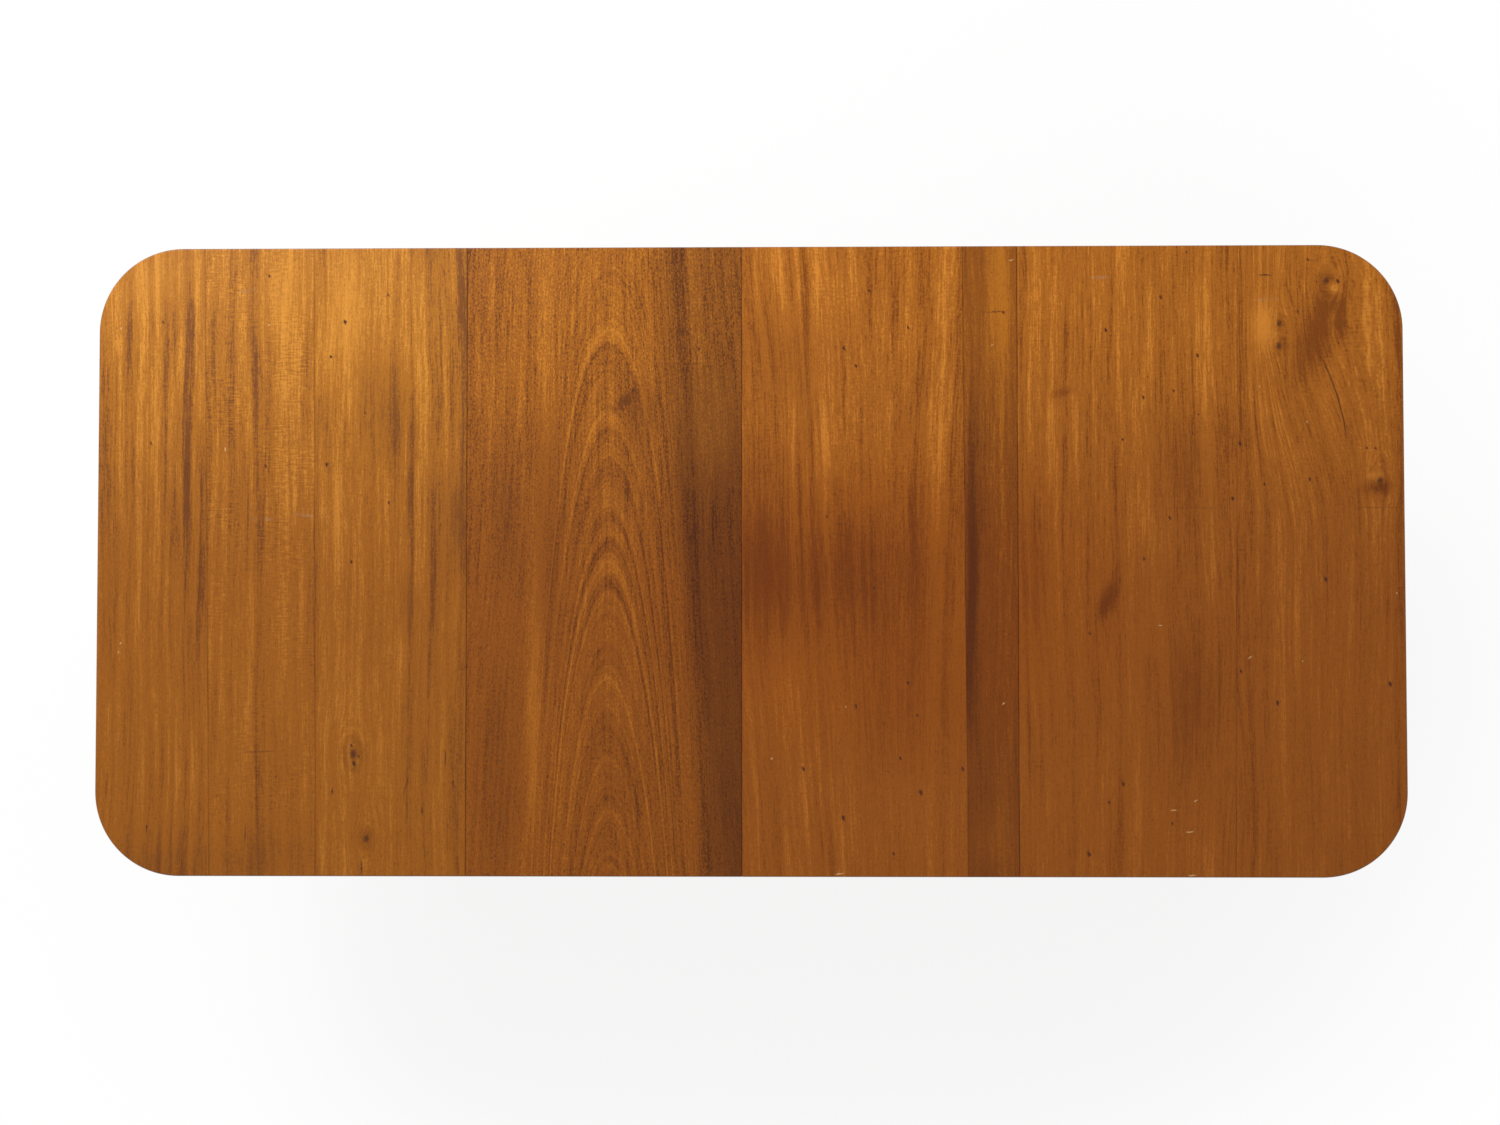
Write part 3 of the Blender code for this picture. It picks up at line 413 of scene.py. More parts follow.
class Finish:
    """The nodes of a material or a world, added by short calls."""

    def __init__(self, owner):
        owner.use_nodes = True
        self.owner = owner
        self.tree = owner.node_tree

    def node(self, kind, settings=None, inputs=None, output=0):
        """One node: its settings first, then the values or links of its sockets."""
        node = self.tree.nodes.new("ShaderNode" + kind)
        for key, value in (settings or {}).items():
            if key == "stops":
                self.set_stops(node.color_ramp, value)
            else:
                setattr(node, key, value)
        for key, value in (inputs or {}).items():
            self.feed(node.inputs[key], value)
        return Wire(self, node.outputs[output])

    def set_stops(self, ramp, stops):
        ramp.interpolation = "EASE"
        while len(ramp.elements) < len(stops):
            ramp.elements.new(1.0)
        for element, (position, color) in zip(ramp.elements, stops):
            element.position = position
            element.color = (*color, 1.0)

    def feed(self, socket, value):
        if isinstance(value, Wire):
            self.tree.links.new(value.socket, socket)
        elif socket.type == "RGBA":
            socket.default_value = (*value, 1.0)
        else:
            socket.default_value = value

    def math(self, operation, first, second=0.0):
        return self.node("Math", {"operation": operation}, {0: first, 1: second})

    def size_of(self, value):
        return self.math("ABSOLUTE", value)

    def object_place(self):
        return self.node("TexCoord", output="Object")

    def stored_place(self, name):
        return self.node("Attribute", {"attribute_name": name}, output="Vector")

    def split(self, vector):
        separate = self.node("SeparateXYZ", inputs={"Vector": vector}).socket.node
        return [Wire(self, socket) for socket in separate.outputs]

    def vector(self, x, y, z):
        return self.node("CombineXYZ", inputs={"X": x, "Y": y, "Z": z})

    def spread(self, place, scale):
        return self.node("VectorMath", {"operation": "SCALE"}, {0: place, "Scale": scale})

    def noise(self, place, detail=2.0, roughness=0.5):
        """Soft noise about zero, one wave to a unit of its place."""
        values = {"Vector": place, "Scale": 1.0, "Detail": detail, "Roughness": roughness}
        return self.node("TexNoise", None, values) - 0.5

    def waves(self, x, y, z, detail=1.0, roughness=0.5):
        """Noise at a place given by its three parts."""
        return self.noise(self.vector(x, y, z), detail, roughness)

    def shaken(self, place, scale, amount):
        """The place, moved about a little, so that what is drawn there has an uneven edge."""
        values = {"Vector": place, "Scale": scale, "Detail": 1.0}
        shift = self.node("TexNoise", None, values, output="Color")
        shift = self.node("VectorMath", {"operation": "SUBTRACT"}, {0: shift, 1: (0.5, 0.5, 0.5)})
        return self.node("VectorMath", {"operation": "ADD"}, {0: place, 1: self.spread(shift, amount)})

    def ramp(self, value, start, end, low=0.0, high=1.0):
        """A smooth step of the value from start to end, clamped."""
        return self.node("MapRange", {"interpolation_type": "SMOOTHSTEP"}, {
            "Value": value, "From Min": start, "From Max": end, "To Min": low, "To Max": high})

    def graded(self, value, stops):
        """A colour taken from stops of (place, colour) by a value from 0 to 1."""
        return self.node("ValToRGB", {"stops": stops}, {"Fac": value})

    def mix(self, share, first, second, blend="MIX"):
        return self.node("Mix", {"data_type": "RGBA", "blend_type": blend}, {
            0: share, 6: first, 7: second}, output=2)

    def darker(self, color, share, tint):
        return self.mix(share, color, tint, "MULTIPLY")

    def distance(self, place, centre, radii, turn=0.0):
        """Distance from a centre, where 1 is the ellipse with these radii."""
        moved = self.node("Mapping", {"vector_type": "TEXTURE"}, {
            "Vector": place, "Location": (*centre, TOP_HIGH.z), "Rotation": (0, 0, radians(turn)),
            "Scale": (*radii, 1.0)})
        return self.node("VectorMath", {"operation": "LENGTH"}, {0: moved}, output="Value")

    def most(self, masks):
        """The strongest of some masks, or nothing where there are none."""
        found = 0.0
        for mask in masks:
            found = self.math("MAXIMUM", mask, found)
        return found

    def surface(self, color, roughness, height, relief, **constants):
        """Feed the shader. The height stands out of the surface by the relief."""
        shader = self.tree.nodes["Principled BSDF"]
        normal = self.node("Bump", None, {"Strength": 1.0, "Distance": relief, "Height": height})
        self.feed(shader.inputs["Base Color"], color)
        self.feed(shader.inputs["Roughness"], roughness)
        self.feed(shader.inputs["Normal"], normal)
        for name, value in constants.items():
            self.feed(shader.inputs[name.replace("_", " ").title().replace("Ior", "IOR")], value)
        return self.owner


def new_finish(name):
    return Finish(bpy.data.materials.new(name))


# The boards of the top. Places are metres on the table, and angles degrees.
@dataclass
class Board:
    wood: str
    seed: float
    stripes: tuple          # (place across the table, how light the wood is there)
    figure: float = 1.0     # strength of the soft ribbons
    speckle: float = 0.5    # strength of the pores
    ripple: float = 0.3     # strength of the fiddleback
    front: float = 0.6      # how lively all this is towards the front edge
    crown: tuple = ()       # place, steepness, direction and strength of the arched rings
    rings: tuple = ()       # (level of a ring's apex along Y, how light the wood is there)
    heartwood: float = 0.0  # strength of the dark band along the right edge
    flow: float = 0.0       # how far the grain drifts aside below the knots
    shades: tuple = ()      # (x, y, reach along x, reach along y, turn, light or dark)
    knots: tuple = ()       # (x, y, radius)
    pins: tuple = ()        # (x, y, radius)
    lines: tuple = ()       # dark (x, y, half length, turn from the grain)
    chips: tuple = ()       # pale (x, y, half length, turn from the grain)
    scuffs: tuple = ()      # dull (x, y, half length, turn from the grain)
    crack: tuple = ()       # an arc: its centre's x and y, its radius and its ends along Y


BOARDS = {
    "left_outer": Board(
        "end", 1.0, figure=1.2, ripple=0.2, front=0.58,
        stripes=((-1.160, 0.50), (-1.132, 0.30), (-1.120, 0.65), (-1.104, 0.28), (-1.088, 0.70),
                 (-1.071, 0.50), (-1.058, 0.68), (-1.043, 0.15), (-1.033, 0.60), (-1.025, 0.20),
                 (-1.015, 0.68), (-1.001, 0.02), (-0.988, 0.68), (-0.971, 0.20), (-0.963, 0.45)),
        # The dark shade along the front edge is painted shade, which carries the darkening of the front part
        # further.
        shades=((-1.060, -0.540, 0.120, 0.080, 0, -0.25), (-1.060, 0.500, 0.090, 0.070, 0, 0.20)),
        pins=((-1.045, 0.427, 0.003), (-1.065, 0.210, 0.003)),
        lines=((-1.139, -0.400, 0.028, 2), (-1.067, -0.475, 0.009, 4)),
        chips=((-1.121, 0.415, 0.003, 10), (-1.116, -0.147, 0.004, 40), (-1.120, -0.162, 0.003, 0))),
    "left_middle": Board(
        "end", 2.0, figure=1.0, ripple=1.0, front=0.58,
        stripes=((-0.963, 0.50), (-0.935, 0.60), (-0.924, 0.42), (-0.900, 0.62), (-0.882, 0.60),
                 (-0.878, 0.22), (-0.866, 0.30), (-0.855, 0.60), (-0.830, 0.70), (-0.800, 0.58),
                 (-0.785, 0.50), (-0.776, 0.28), (-0.7705, 0.55)),
        # The light shade at the back edge is painted light, and the dark one along the front edge is painted
        # shade.
        shades=((-0.830, 0.470, 0.060, 0.090, 0, 0.20), (-0.870, -0.540, 0.120, 0.080, 0, -0.22)),
        pins=((-0.855, 0.509, 0.003), (-0.859, 0.169, 0.003)),
        lines=((-0.891, -0.484, 0.020, 2), (-0.865, -0.339, 0.030, 88)),
        chips=((-0.855, 0.421, 0.004, 70), (-0.932, 0.199, 0.005, 0)),
        scuffs=((-0.788, 0.081, 0.024, 95), (-0.860, 0.074, 0.028, 90), (-0.893, 0.483, 0.022, 80))),
    "left_inner": Board(
        "end", 3.0, figure=1.0, ripple=0.3, front=0.60,
        stripes=((-0.7705, 0.50), (-0.745, 0.72), (-0.715, 0.82), (-0.690, 0.70), (-0.660, 0.55),
                 (-0.630, 0.62), (-0.609, 0.66), (-0.600, 0.30), (-0.590, 0.60), (-0.578, 0.50),
                 (-0.565, 0.08), (-0.552, 0.35), (-0.540, 0.65), (-0.525, 0.55), (-0.512, 0.12),
                 (-0.500, 0.30)),
        shades=((-0.720, 0.440, 0.050, 0.140, 0, 0.35), (-0.650, 0.270, 0.050, 0.120, 10, -0.30),
                (-0.520, 0.040, 0.040, 0.110, 0, -0.25), (-0.605, -0.090, 0.020, 0.070, 0, -0.25)),
        knots=((-0.700, -0.343, 0.012), (-0.676, -0.492, 0.009)),
        pins=((-0.641, 0.474, 0.003), (-0.719, 0.426, 0.004), (-0.744, 0.364, 0.003),
              (-0.750, 0.171, 0.004), (-0.703, -0.328, 0.003), (-0.698, -0.360, 0.005),
              (-0.690, -0.347, 0.003), (-0.639, 0.103, 0.003), (-0.681, 0.262, 0.002),
              (-0.705, -0.002, 0.003)),
        lines=((-0.684, -0.543, 0.016, -4), (-0.737, -0.410, 0.008, 5), (-0.606, -0.400, 0.022, 14),
               (-0.577, -0.443, 0.009, 0), (-0.522, -0.395, 0.007, 3), (-0.536, -0.350, 0.016, 2))),
    "left_leaf": Board(
        "leaf", 4.0, figure=0.45, speckle=1.0, ripple=0.1, front=0.60, crown=(-0.246, 40.0, 1.0, 1.0),
        heartwood=1.0,
        stripes=((-0.500, 0.30), (-0.493, 0.50), (-0.485, 0.28), (-0.476, 0.66), (-0.465, 0.30),
                 (-0.452, 0.42), (-0.440, 0.35), (-0.425, 0.52), (-0.405, 0.40), (-0.390, 0.62),
                 (-0.370, 0.72), (-0.350, 0.55), (-0.300, 0.50), (-0.190, 0.50), (-0.165, 0.45),
                 (-0.140, 0.38), (-0.122, 0.42), (-0.108, 0.12), (-0.094, 0.02), (-0.084, 0.40),
                 (-0.074, 0.62), (-0.060, 0.35), (-0.035, 0.30), (-0.011, 0.40)),
        rings=((-0.520, 0.50), (-0.470, 0.42), (-0.440, 0.66), (-0.425, 0.40), (-0.350, 0.55),
               (-0.315, 0.34), (-0.290, 0.36), (-0.250, 0.55), (-0.222, 0.60), (-0.209, 0.90),
               (-0.196, 0.50), (-0.150, 0.40), (-0.125, 0.60), (-0.090, 0.50), (-0.066, 0.74),
               (-0.052, 0.40), (-0.036, 0.26), (-0.020, 0.60), (-0.005, 0.92), (0.008, 0.50), (0.024, 0.22),
               (0.050, 0.55), (0.084, 0.30), (0.098, 0.66), (0.170, 0.28), (0.186, 0.60), (0.228, 0.30),
               (0.248, 0.64), (0.335, 0.36), (0.380, 0.26), (0.408, 0.80), (0.425, 0.50)),
        shades=((-0.218, 0.290, 0.026, 0.012, 35, -0.40), (-0.190, 0.260, 0.030, 0.060, 0, -0.25),
                (-0.356, 0.050, 0.030, 0.220, 0, -0.20), (-0.430, 0.060, 0.030, 0.150, 0, -0.25),
                (-0.435, -0.350, 0.040, 0.200, 0, -0.20), (-0.375, -0.250, 0.016, 0.250, 0, 0.30),
                (-0.070, 0.205, 0.055, 0.110, 0, 0.25)),
        pins=((-0.204, 0.303, 0.004), (-0.087, 0.376, 0.003), (-0.434, -0.006, 0.002))),
    "right_leaf_wide": Board(
        "red", 5.0, figure=0.75, speckle=0.5, ripple=0.4, crown=(0.256, 222.0, -1.0, 0.35),
        stripes=((-0.011, 0.60), (-0.006, 0.66), (0.001, 0.28), (0.010, 0.60), (0.022, 0.28), (0.033, 0.35),
                 (0.043, 0.68), (0.060, 0.50), (0.082, 0.72), (0.092, 0.55), (0.100, 0.28), (0.110, 0.68),
                 (0.1226, 0.12), (0.134, 0.60), (0.147, 0.85), (0.158, 0.60), (0.177, 0.45), (0.210, 0.50),
                 (0.250, 0.45), (0.285, 0.50), (0.294, 0.35), (0.310, 0.50), (0.331, 0.70), (0.345, 0.55),
                 (0.355, 0.35), (0.370, 0.55), (0.3845, 0.50)),
        shades=((0.020, 0.005, 0.080, 0.150, 0, -0.32), (0.190, 0.000, 0.210, 0.170, 0, -0.32),
                (0.280, -0.230, 0.110, 0.160, 0, -0.20), (0.070, 0.350, 0.090, 0.110, 0, -0.20)),
        pins=((0.216, 0.479, 0.003), (0.171, 0.377, 0.004), (0.192, 0.345, 0.003), (0.285, 0.413, 0.003),
              (0.256, 0.370, 0.002), (0.140, 0.077, 0.003), (0.168, -0.455, 0.005), (0.305, -0.410, 0.005),
              (0.098, -0.369, 0.004), (0.269, -0.350, 0.003), (0.283, -0.217, 0.003),
              (0.191, -0.259, 0.004), (0.299, -0.274, 0.003), (0.379, -0.369, 0.004),
              (0.247, -0.373, 0.002), (0.223, -0.050, 0.003), (0.257, -0.518, 0.003)),
        chips=((0.173, -0.259, 0.003, 0), (0.042, -0.350, 0.003, 20), (0.162, -0.553, 0.012, 80))),
    "right_leaf_strip": Board(
        "strip", 6.0, figure=0.7,
        stripes=((0.3845, 0.42), (0.392, 0.22), (0.405, 0.35), (0.415, 0.22), (0.425, 0.50), (0.450, 0.72),
                 (0.462, 0.55), (0.470, 0.38), (0.478, 0.50)),
        shades=((0.396, -0.050, 0.016, 0.300, 0, -0.45), (0.440, 0.430, 0.060, 0.180, 0, 0.30),
                (0.430, -0.500, 0.060, 0.070, 0, 0.20)),
        pins=((0.454, 0.440, 0.003),),
        lines=((0.440, 0.441, 0.020, 88),),
        chips=((0.434, 0.382, 0.004, 60), (0.468, 0.533, 0.006, 75), (0.451, -0.254, 0.005, 50))),
    "right_inner": Board(
        "red", 7.0, figure=0.7, speckle=0.4,
        stripes=((0.478, 0.45), (0.486, 0.60), (0.494, 0.30), (0.505, 0.55), (0.520, 0.60), (0.529, 0.30),
                 (0.540, 0.60), (0.555, 0.55), (0.567, 0.30), (0.580, 0.60), (0.597, 0.55), (0.607, 0.35),
                 (0.620, 0.55), (0.640, 0.50), (0.652, 0.22), (0.664, 0.60), (0.678, 0.70), (0.700, 0.50),
                 (0.735, 0.55), (0.763, 0.40), (0.790, 0.50), (0.818, 0.70), (0.832, 0.50), (0.845, 0.40),
                 (0.8635, 0.55)),
        shades=((0.561, 0.321, 0.024, 0.009, 12, -0.28), (0.636, -0.058, 0.017, 0.045, -18, -0.42),
                (0.500, 0.000, 0.040, 0.200, 0, -0.20), (0.770, 0.180, 0.060, 0.120, 0, -0.20),
                (0.780, -0.280, 0.090, 0.160, 0, -0.25)),
        pins=((0.733, 0.466, 0.004), (0.635, 0.408, 0.004), (0.797, 0.362, 0.004), (0.709, 0.324, 0.002),
              (0.701, 0.288, 0.003), (0.754, 0.300, 0.003), (0.664, 0.213, 0.003), (0.857, 0.108, 0.004),
              (0.746, 0.074, 0.003), (0.798, 0.258, 0.002), (0.788, 0.224, 0.002), (0.779, 0.546, 0.002),
              (0.699, 0.532, 0.002), (0.600, -0.518, 0.005), (0.661, -0.395, 0.004), (0.636, -0.427, 0.003),
              (0.604, -0.130, 0.003), (0.700, 0.002, 0.003), (0.747, -0.464, 0.003)),
        lines=((0.790, 0.092, 0.070, 90),),
        scuffs=((0.626, 0.502, 0.022, 88),),
        chips=((0.728, -0.116, 0.005, 90), (0.777, -0.479, 0.010, 84), (0.788, -0.424, 0.005, 50),
               (0.749, -0.441, 0.008, 90), (0.781, -0.555, 0.010, 88))),
    "right_outer": Board(
        "red", 8.0, figure=0.75, speckle=0.4, flow=0.075, crack=(0.617, 0.160, 0.445, 0.195, 0.370),
        stripes=((0.8635, 0.50), (0.869, 0.18), (0.880, 0.50), (0.889, 0.28), (0.900, 0.55), (0.917, 0.25),
                 (0.930, 0.50), (0.944, 0.68), (0.957, 0.40), (0.970, 0.68), (0.990, 0.50), (1.030, 0.45),
                 (1.060, 0.50), (1.080, 0.40), (1.100, 0.50), (1.130, 0.66), (1.142, 0.40), (1.150, 0.12),
                 (1.160, 0.30)),
        shades=((0.915, 0.415, 0.030, 0.050, 0, 0.45), (1.010, 0.400, 0.042, 0.110, -25, -0.42),
                (1.034, 0.470, 0.025, 0.030, 0, -0.30), (1.110, 0.125, 0.035, 0.016, 0, -0.35),
                (1.040, 0.496, 0.012, 0.012, 0, 0.60), (1.113, 0.146, 0.014, 0.012, 0, 0.45)),
        knots=((0.942, 0.419, 0.009), (0.941, 0.379, 0.010), (1.026, 0.495, 0.009), (1.117, 0.140, 0.009)),
        pins=((1.046, 0.494, 0.004), (0.871, 0.206, 0.004), (0.993, 0.142, 0.003), (0.913, 0.134, 0.003),
              (0.993, 0.533, 0.003), (0.974, 0.440, 0.002), (1.046, 0.384, 0.002), (1.094, 0.197, 0.002),
              (1.109, 0.197, 0.002), (1.019, -0.034, 0.005), (1.130, -0.219, 0.005), (0.869, -0.197, 0.004),
              (0.933, -0.252, 0.004)),
        lines=((0.917, 0.505, 0.015, 92), (1.110, 0.092, 0.045, 90)),
        scuffs=((0.920, 0.462, 0.025, 85),),
        chips=((0.885, -0.172, 0.006, 60), (0.906, 0.307, 0.003, 0), (0.989, 0.244, 0.004, 10),
               (0.977, -0.179, 0.002, 0), (1.144, -0.059, 0.003, 0))),
}

BLUSH_PLACE = (0.25, -0.07)
BLUSH_REACH = (0.40, 0.26)
LINE_HALF = 0.0015
CHIP_HALF = 0.0013
SCUFF_HALF = 0.0040
LINE_DARKNESS = 0.014       # a longer line is fainter
RING_BASE = 0.55


class BoardFinish(Finish):
    """Figured mahogany for one board of the top, with its grain along Y."""

    def __init__(self, name, colors, edges):
        """The edges are the board's two long ones, each given as (place, slant)."""
        super().__init__(bpy.data.materials.new(name + "_board"))
        self.board = BOARDS[name]
        self.colors = colors
        self.edges = edges
        self.offset = 10.0 * self.board.seed
        self.place = self.object_place()
        self.xyz = self.split(self.place)
        self.facing = self.split(self.node("TexCoord", output="Normal"))
        self.upward = self.ramp(self.facing[2], 0.3, 0.7)
        self.rough_place = self.shaken(self.place, 240.0, 0.0045)
        self.draw_grain()

    def draw_grain(self):
        """The place across the grain, drawn aside by slow waves, round the knots and below them."""
        x, y, z = self.xyz
        board, offset = self.board, self.offset
        self.slow = self.waves(x * 3 + offset, y * 1.6, z * 3)
        self.quick = self.waves(x * 22, y * 5 + offset, z * 22, detail=2.0)
        across = x + self.slow * 0.030 + self.quick * 0.007
        if board.flow:
            below = self.ramp(y, 0.05, 0.42) * self.ramp(x, 0.865, 0.950) * self.ramp(x, 1.155, 0.990)
            across = across + below * board.flow
        for knot_x, knot_y, radius in board.knots:
            reach = self.distance(self.place, (knot_x, knot_y), (radius * 5, radius * 9))
            across = across - (x - knot_x) * self.ramp(reach, 1.0, 0.0) * 0.7
        if board.crown:
            centre, _, direction, _ = board.crown
            lean = self.math("MINIMUM", self.math("MAXIMUM", (x - centre) * 8, -1.0), 1.0)
            across = across + lean * y * 0.045 * direction
        self.across = across
        self.ribbons = self.waves(across * 55 + offset, y * 2.2, z * 48, detail=3.0, roughness=0.6)
        self.streaks = self.waves(across * 210, y * 6.0 + offset, z * 170, detail=3.0, roughness=0.6)
        self.fibres = self.waves(across * 520, y * 40, z * 480 + offset)
        patches = self.waves(x * 14 + offset, y * 9, 0.0, detail=2.0)
        ripple = self.waves(across * 60, y * 330, offset)
        self.ripple = ripple * self.ramp(patches, -0.12, 0.15, 0.25, 1.0) * board.ripple

    def figure(self):
        """How light the wood is: stripes, ribbons, streaks and fibres, livelier where the light is."""
        x, y, z = self.xyz
        board, offset, across = self.board, self.offset, self.across
        (low, low_slant), (high, _) = self.edges
        share = (across - low - y * low_slant) / (high - low)
        stops = [((at - low) / (high - low), (light, light, light)) for at, light in board.stripes]
        striped = self.graded(share, stops) - 0.5
        fading = self.waves(across * 30, y * 5 + offset, 0.0, detail=2.0) * 1.8 + 0.75
        flecks = self.waves(across * 330, y * 210, z * 300 + offset)
        mottle = self.waves(x * 16, y * 7, offset, detail=3.0)
        tone = striped * fading * 0.90 + self.ribbons * (1.35 * board.figure) + self.streaks * 1.2
        tone = tone + mottle * 0.3 + self.fibres * 0.75 + self.ripple * 1.1 + flecks * (1.3 * board.speckle)
        return tone * self.ramp(y, -0.25, 0.40, board.front, 1.0) + 0.5

    def arches(self):
        """Arched rings, clear along the middle and lost in the flanks."""
        x, y, _ = self.xyz
        centre, steepness, direction, strength = self.board.crown
        aside = x - centre + self.slow * 0.02
        level = (y + self.quick * 0.015) * direction + aside * aside * (steepness - y * steepness * 0.6)
        fine = self.waves(level * 75, self.offset + 5.0, aside * 6, detail=3.0, roughness=0.6)
        rings = fine * 1.1
        if self.board.rings:
            stops = [(at + RING_BASE, (light, light, light)) for at, light in self.board.rings]
            rings = rings + self.graded(level + RING_BASE, stops) * 0.75 - 0.375
        return rings * self.ramp(self.size_of(aside), 0.190, 0.090) * strength

    def clouded(self, tone):
        """Clouds of lighter or darker wood, calmer inside, and rings round the knots. A few clouds along the
        front and back edges of the left end are painted shade and painted light.
        """
        x, y, z = self.xyz
        place = self.vector(x + self.slow * 0.03 + self.ribbons * 0.015, y + self.slow * 0.15, z)
        for at_x, at_y, reach_x, reach_y, turn, light in self.board.shades:
            cloud = self.ramp(self.distance(place, (at_x, at_y), (reach_x, reach_y), turn), 1.5, 0.0)
            tone = tone + (light + 0.25 - tone * 0.5) * cloud
        for knot_x, knot_y, radius in self.board.knots:
            ring_place = self.shaken(self.place, 30.0, 0.020)
            reach = self.distance(ring_place, (knot_x, knot_y), (radius, radius * 2.2))
            rings = self.waves(reach * 2.2, self.offset, knot_y * 9, detail=2.0)
            tone = tone + rings * self.ramp(reach, 4.0, 1.0) * 0.6
        return tone

    def wood_color(self, tone):
        """The board's colour, with the heartwood, painted shade that darkens the front part of the top, and
        the blush of the middle.
        """
        colors, y = self.colors, self.xyz[1]
        dark, middle, light = (
            Vector(getattr(colors, f"{self.board.wood}_{shade}")) for shade in ("dark", "middle", "light"))
        stops = [(0.0, dark * 0.6), (0.25, dark), (0.5, middle), (0.75, light), (1.0, light * 1.25)]
        color = self.graded(tone * 0.5 + 0.25, stops)
        if self.board.heartwood:
            slanted = self.across + y * 0.05 + self.ribbons * 0.03
            band = self.ramp(slanted, -0.150, -0.085) * self.ramp(y, 0.50, 0.10, 0.50, 1.0)
            color = self.darker(color, band * self.board.heartwood, colors.heartwood)
        # Painted shade: the front part of the top is darkened, as if it had less light than the back.
        color = self.darker(color, self.ramp(y, 0.52, -0.08), colors.painted_front_shade)
        reddened = self.distance(self.place, BLUSH_PLACE, BLUSH_REACH)
        return self.darker(color, self.ramp(reddened, 1.4, 0.5), colors.blush)

    def mark(self, centre, radii, turn=0.0, start=1.3, end=0.3):
        """A mask of one small mark with an uneven edge."""
        return self.ramp(self.distance(self.rough_place, centre, radii, turn), start, end)

    def spots(self):
        """Masks of the knots, pins and dark lines."""
        for x, y, radius in self.board.knots:
            yield self.mark((x, y), (radius * 0.55, radius * 0.8)) * 0.85
        for x, y, radius in self.board.pins:
            yield self.mark((x, y), (radius * 0.65, radius * 1.1), 20, 1.4, 0.4)
        for x, y, half, turn in self.board.lines:
            yield self.mark((x, y), (LINE_HALF, half), -turn) * min(0.9, LINE_DARKNESS / half)
        if self.board.crack:
            x, y, radius, start, end = self.board.crack
            around = self.distance(self.shaken(self.place, 40.0, 0.003), (x, y), (radius, radius))
            arc = self.ramp(self.size_of(around - 1.0), 0.0042, 0.0012)
            along = self.xyz[1]
            yield arc * self.ramp(along, start, start + 0.04) * self.ramp(along, end, end - 0.03) * 0.8

    def shadows(self):
        """Masks of the darker wood round the knots."""
        for x, y, radius in self.board.knots:
            yield self.mark((x, y), (radius * 0.55, radius * 0.8), 0.0, 5.0, 1.0) * 0.35

    def chips(self):
        for x, y, half, turn in self.board.chips:
            yield self.mark((x, y), (CHIP_HALF, half * 0.8), -turn, 1.2, 0.3) * 0.6

    def scuffs(self):
        for x, y, half, turn in self.board.scuffs:
            worn = self.ramp(self.ribbons + self.streaks, -0.20, 0.20, 0.0, 0.40)
            yield self.mark((x, y), (SCUFF_HALF, half), -turn, 1.2, 0.0) * worn

    def joint_lines(self):
        """The line of dirt and shellac along each edge of the board."""
        x, y, _ = self.xyz
        worn = self.waves(y * 7, self.offset, 0.0, detail=3.0)
        lines = self.most(
            self.ramp(self.size_of(x - edge - y * slant), 0.0020, 0.0003) for edge, slant in self.edges)
        return lines * self.ramp(worn, -0.20, 0.20, 0.15, 0.75)

    def finished(self):
        """The board's material, built up from its grain to its wear."""
        x, y, z = self.xyz
        colors = self.colors
        tone = self.figure()
        if self.board.crown:
            tone = tone + self.arches()
        color = self.wood_color(self.clouded(tone))
        pores = self.waves(self.across * 900, y * 150, z * 900 + self.offset)
        pore_mask = self.ramp(pores, 0.06, 0.20) * (0.35 + 0.65 * self.board.speckle)
        spot_mask = self.most(self.spots()) * self.upward
        color = self.darker(color, pore_mask * 0.6, colors.pore)
        color = self.darker(color, self.most(self.shadows()) * self.upward, colors.pore)
        color = self.mix(spot_mask, color, colors.knot)
        color = self.mix(self.most(self.chips()) * self.upward, color, colors.chip)
        color = self.mix(self.most(self.scuffs()) * self.upward, color, colors.scuff)
        color = self.darker(color, self.joint_lines(), colors.joint)

        # The underside was never polished, and the ends of the boards drink more stain. The darkening of the
        # ends, along the front and back edges, is partly painted shade too, and the rounded upper arris is
        # darkened all round as painted shade.
        _, facing_y, facing_z = self.facing
        below = self.ramp(facing_z, -0.3, -0.8)
        ends = self.ramp(self.size_of(facing_y), 0.45, 0.95)
        arris = self.ramp(facing_z, 0.99, 0.80) * self.ramp(facing_z, 0.05, 0.40)
        color = self.mix(below * 0.75, color, colors.underside)
        # Painted shade on the arris, in the pore tint, together with the darker end grain.
        color = self.darker(color, self.most((ends, arris)) * 0.7, colors.pore)
        haze = self.waves(x * 9, y * 4, z * 9, detail=3.0)
        roughness = 0.36 + haze * 0.20 + pore_mask * 0.15 + below * 0.3
        height = self.fibres * 0.25 + self.ripple * 0.2 - pore_mask * 0.25 - spot_mask * 2
        return self.surface(color, roughness, height, relief=0.00008, specular_ior_level=0.12,
                            coat_weight=arris, coat_roughness=0.15)


# The sections, each with the joint at its right end, its boards from left to right and the
# glue lines between them, a glue line given by its place and its slant
SECTIONS = {
    "left_end_top": (
        "left", ("left_outer", "left_middle", "left_inner"), ((-0.963, -0.0147), (-0.7705, -0.0083))),
    "left_leaf": ("middle", ("left_leaf",), ()),
    "right_leaf": ("right", ("right_leaf_wide", "right_leaf_strip"), ((0.3845, -0.0065),)),
    "right_end_top": (None, ("right_inner", "right_outer"), ((0.8635, 0.0102),)),
}
CORNER_STEPS = 32
DOWEL_TAPER_SHARE = 0.6


def half_body(node):
    """The body that a part of the left or the right half rides on."""
    return node.split("_")[0] + "_half"


def dowel_rows(sizes):
    outer = TOP_HIGH.y - sizes.dowel_setback
    return (-outer, 0.0, outer)


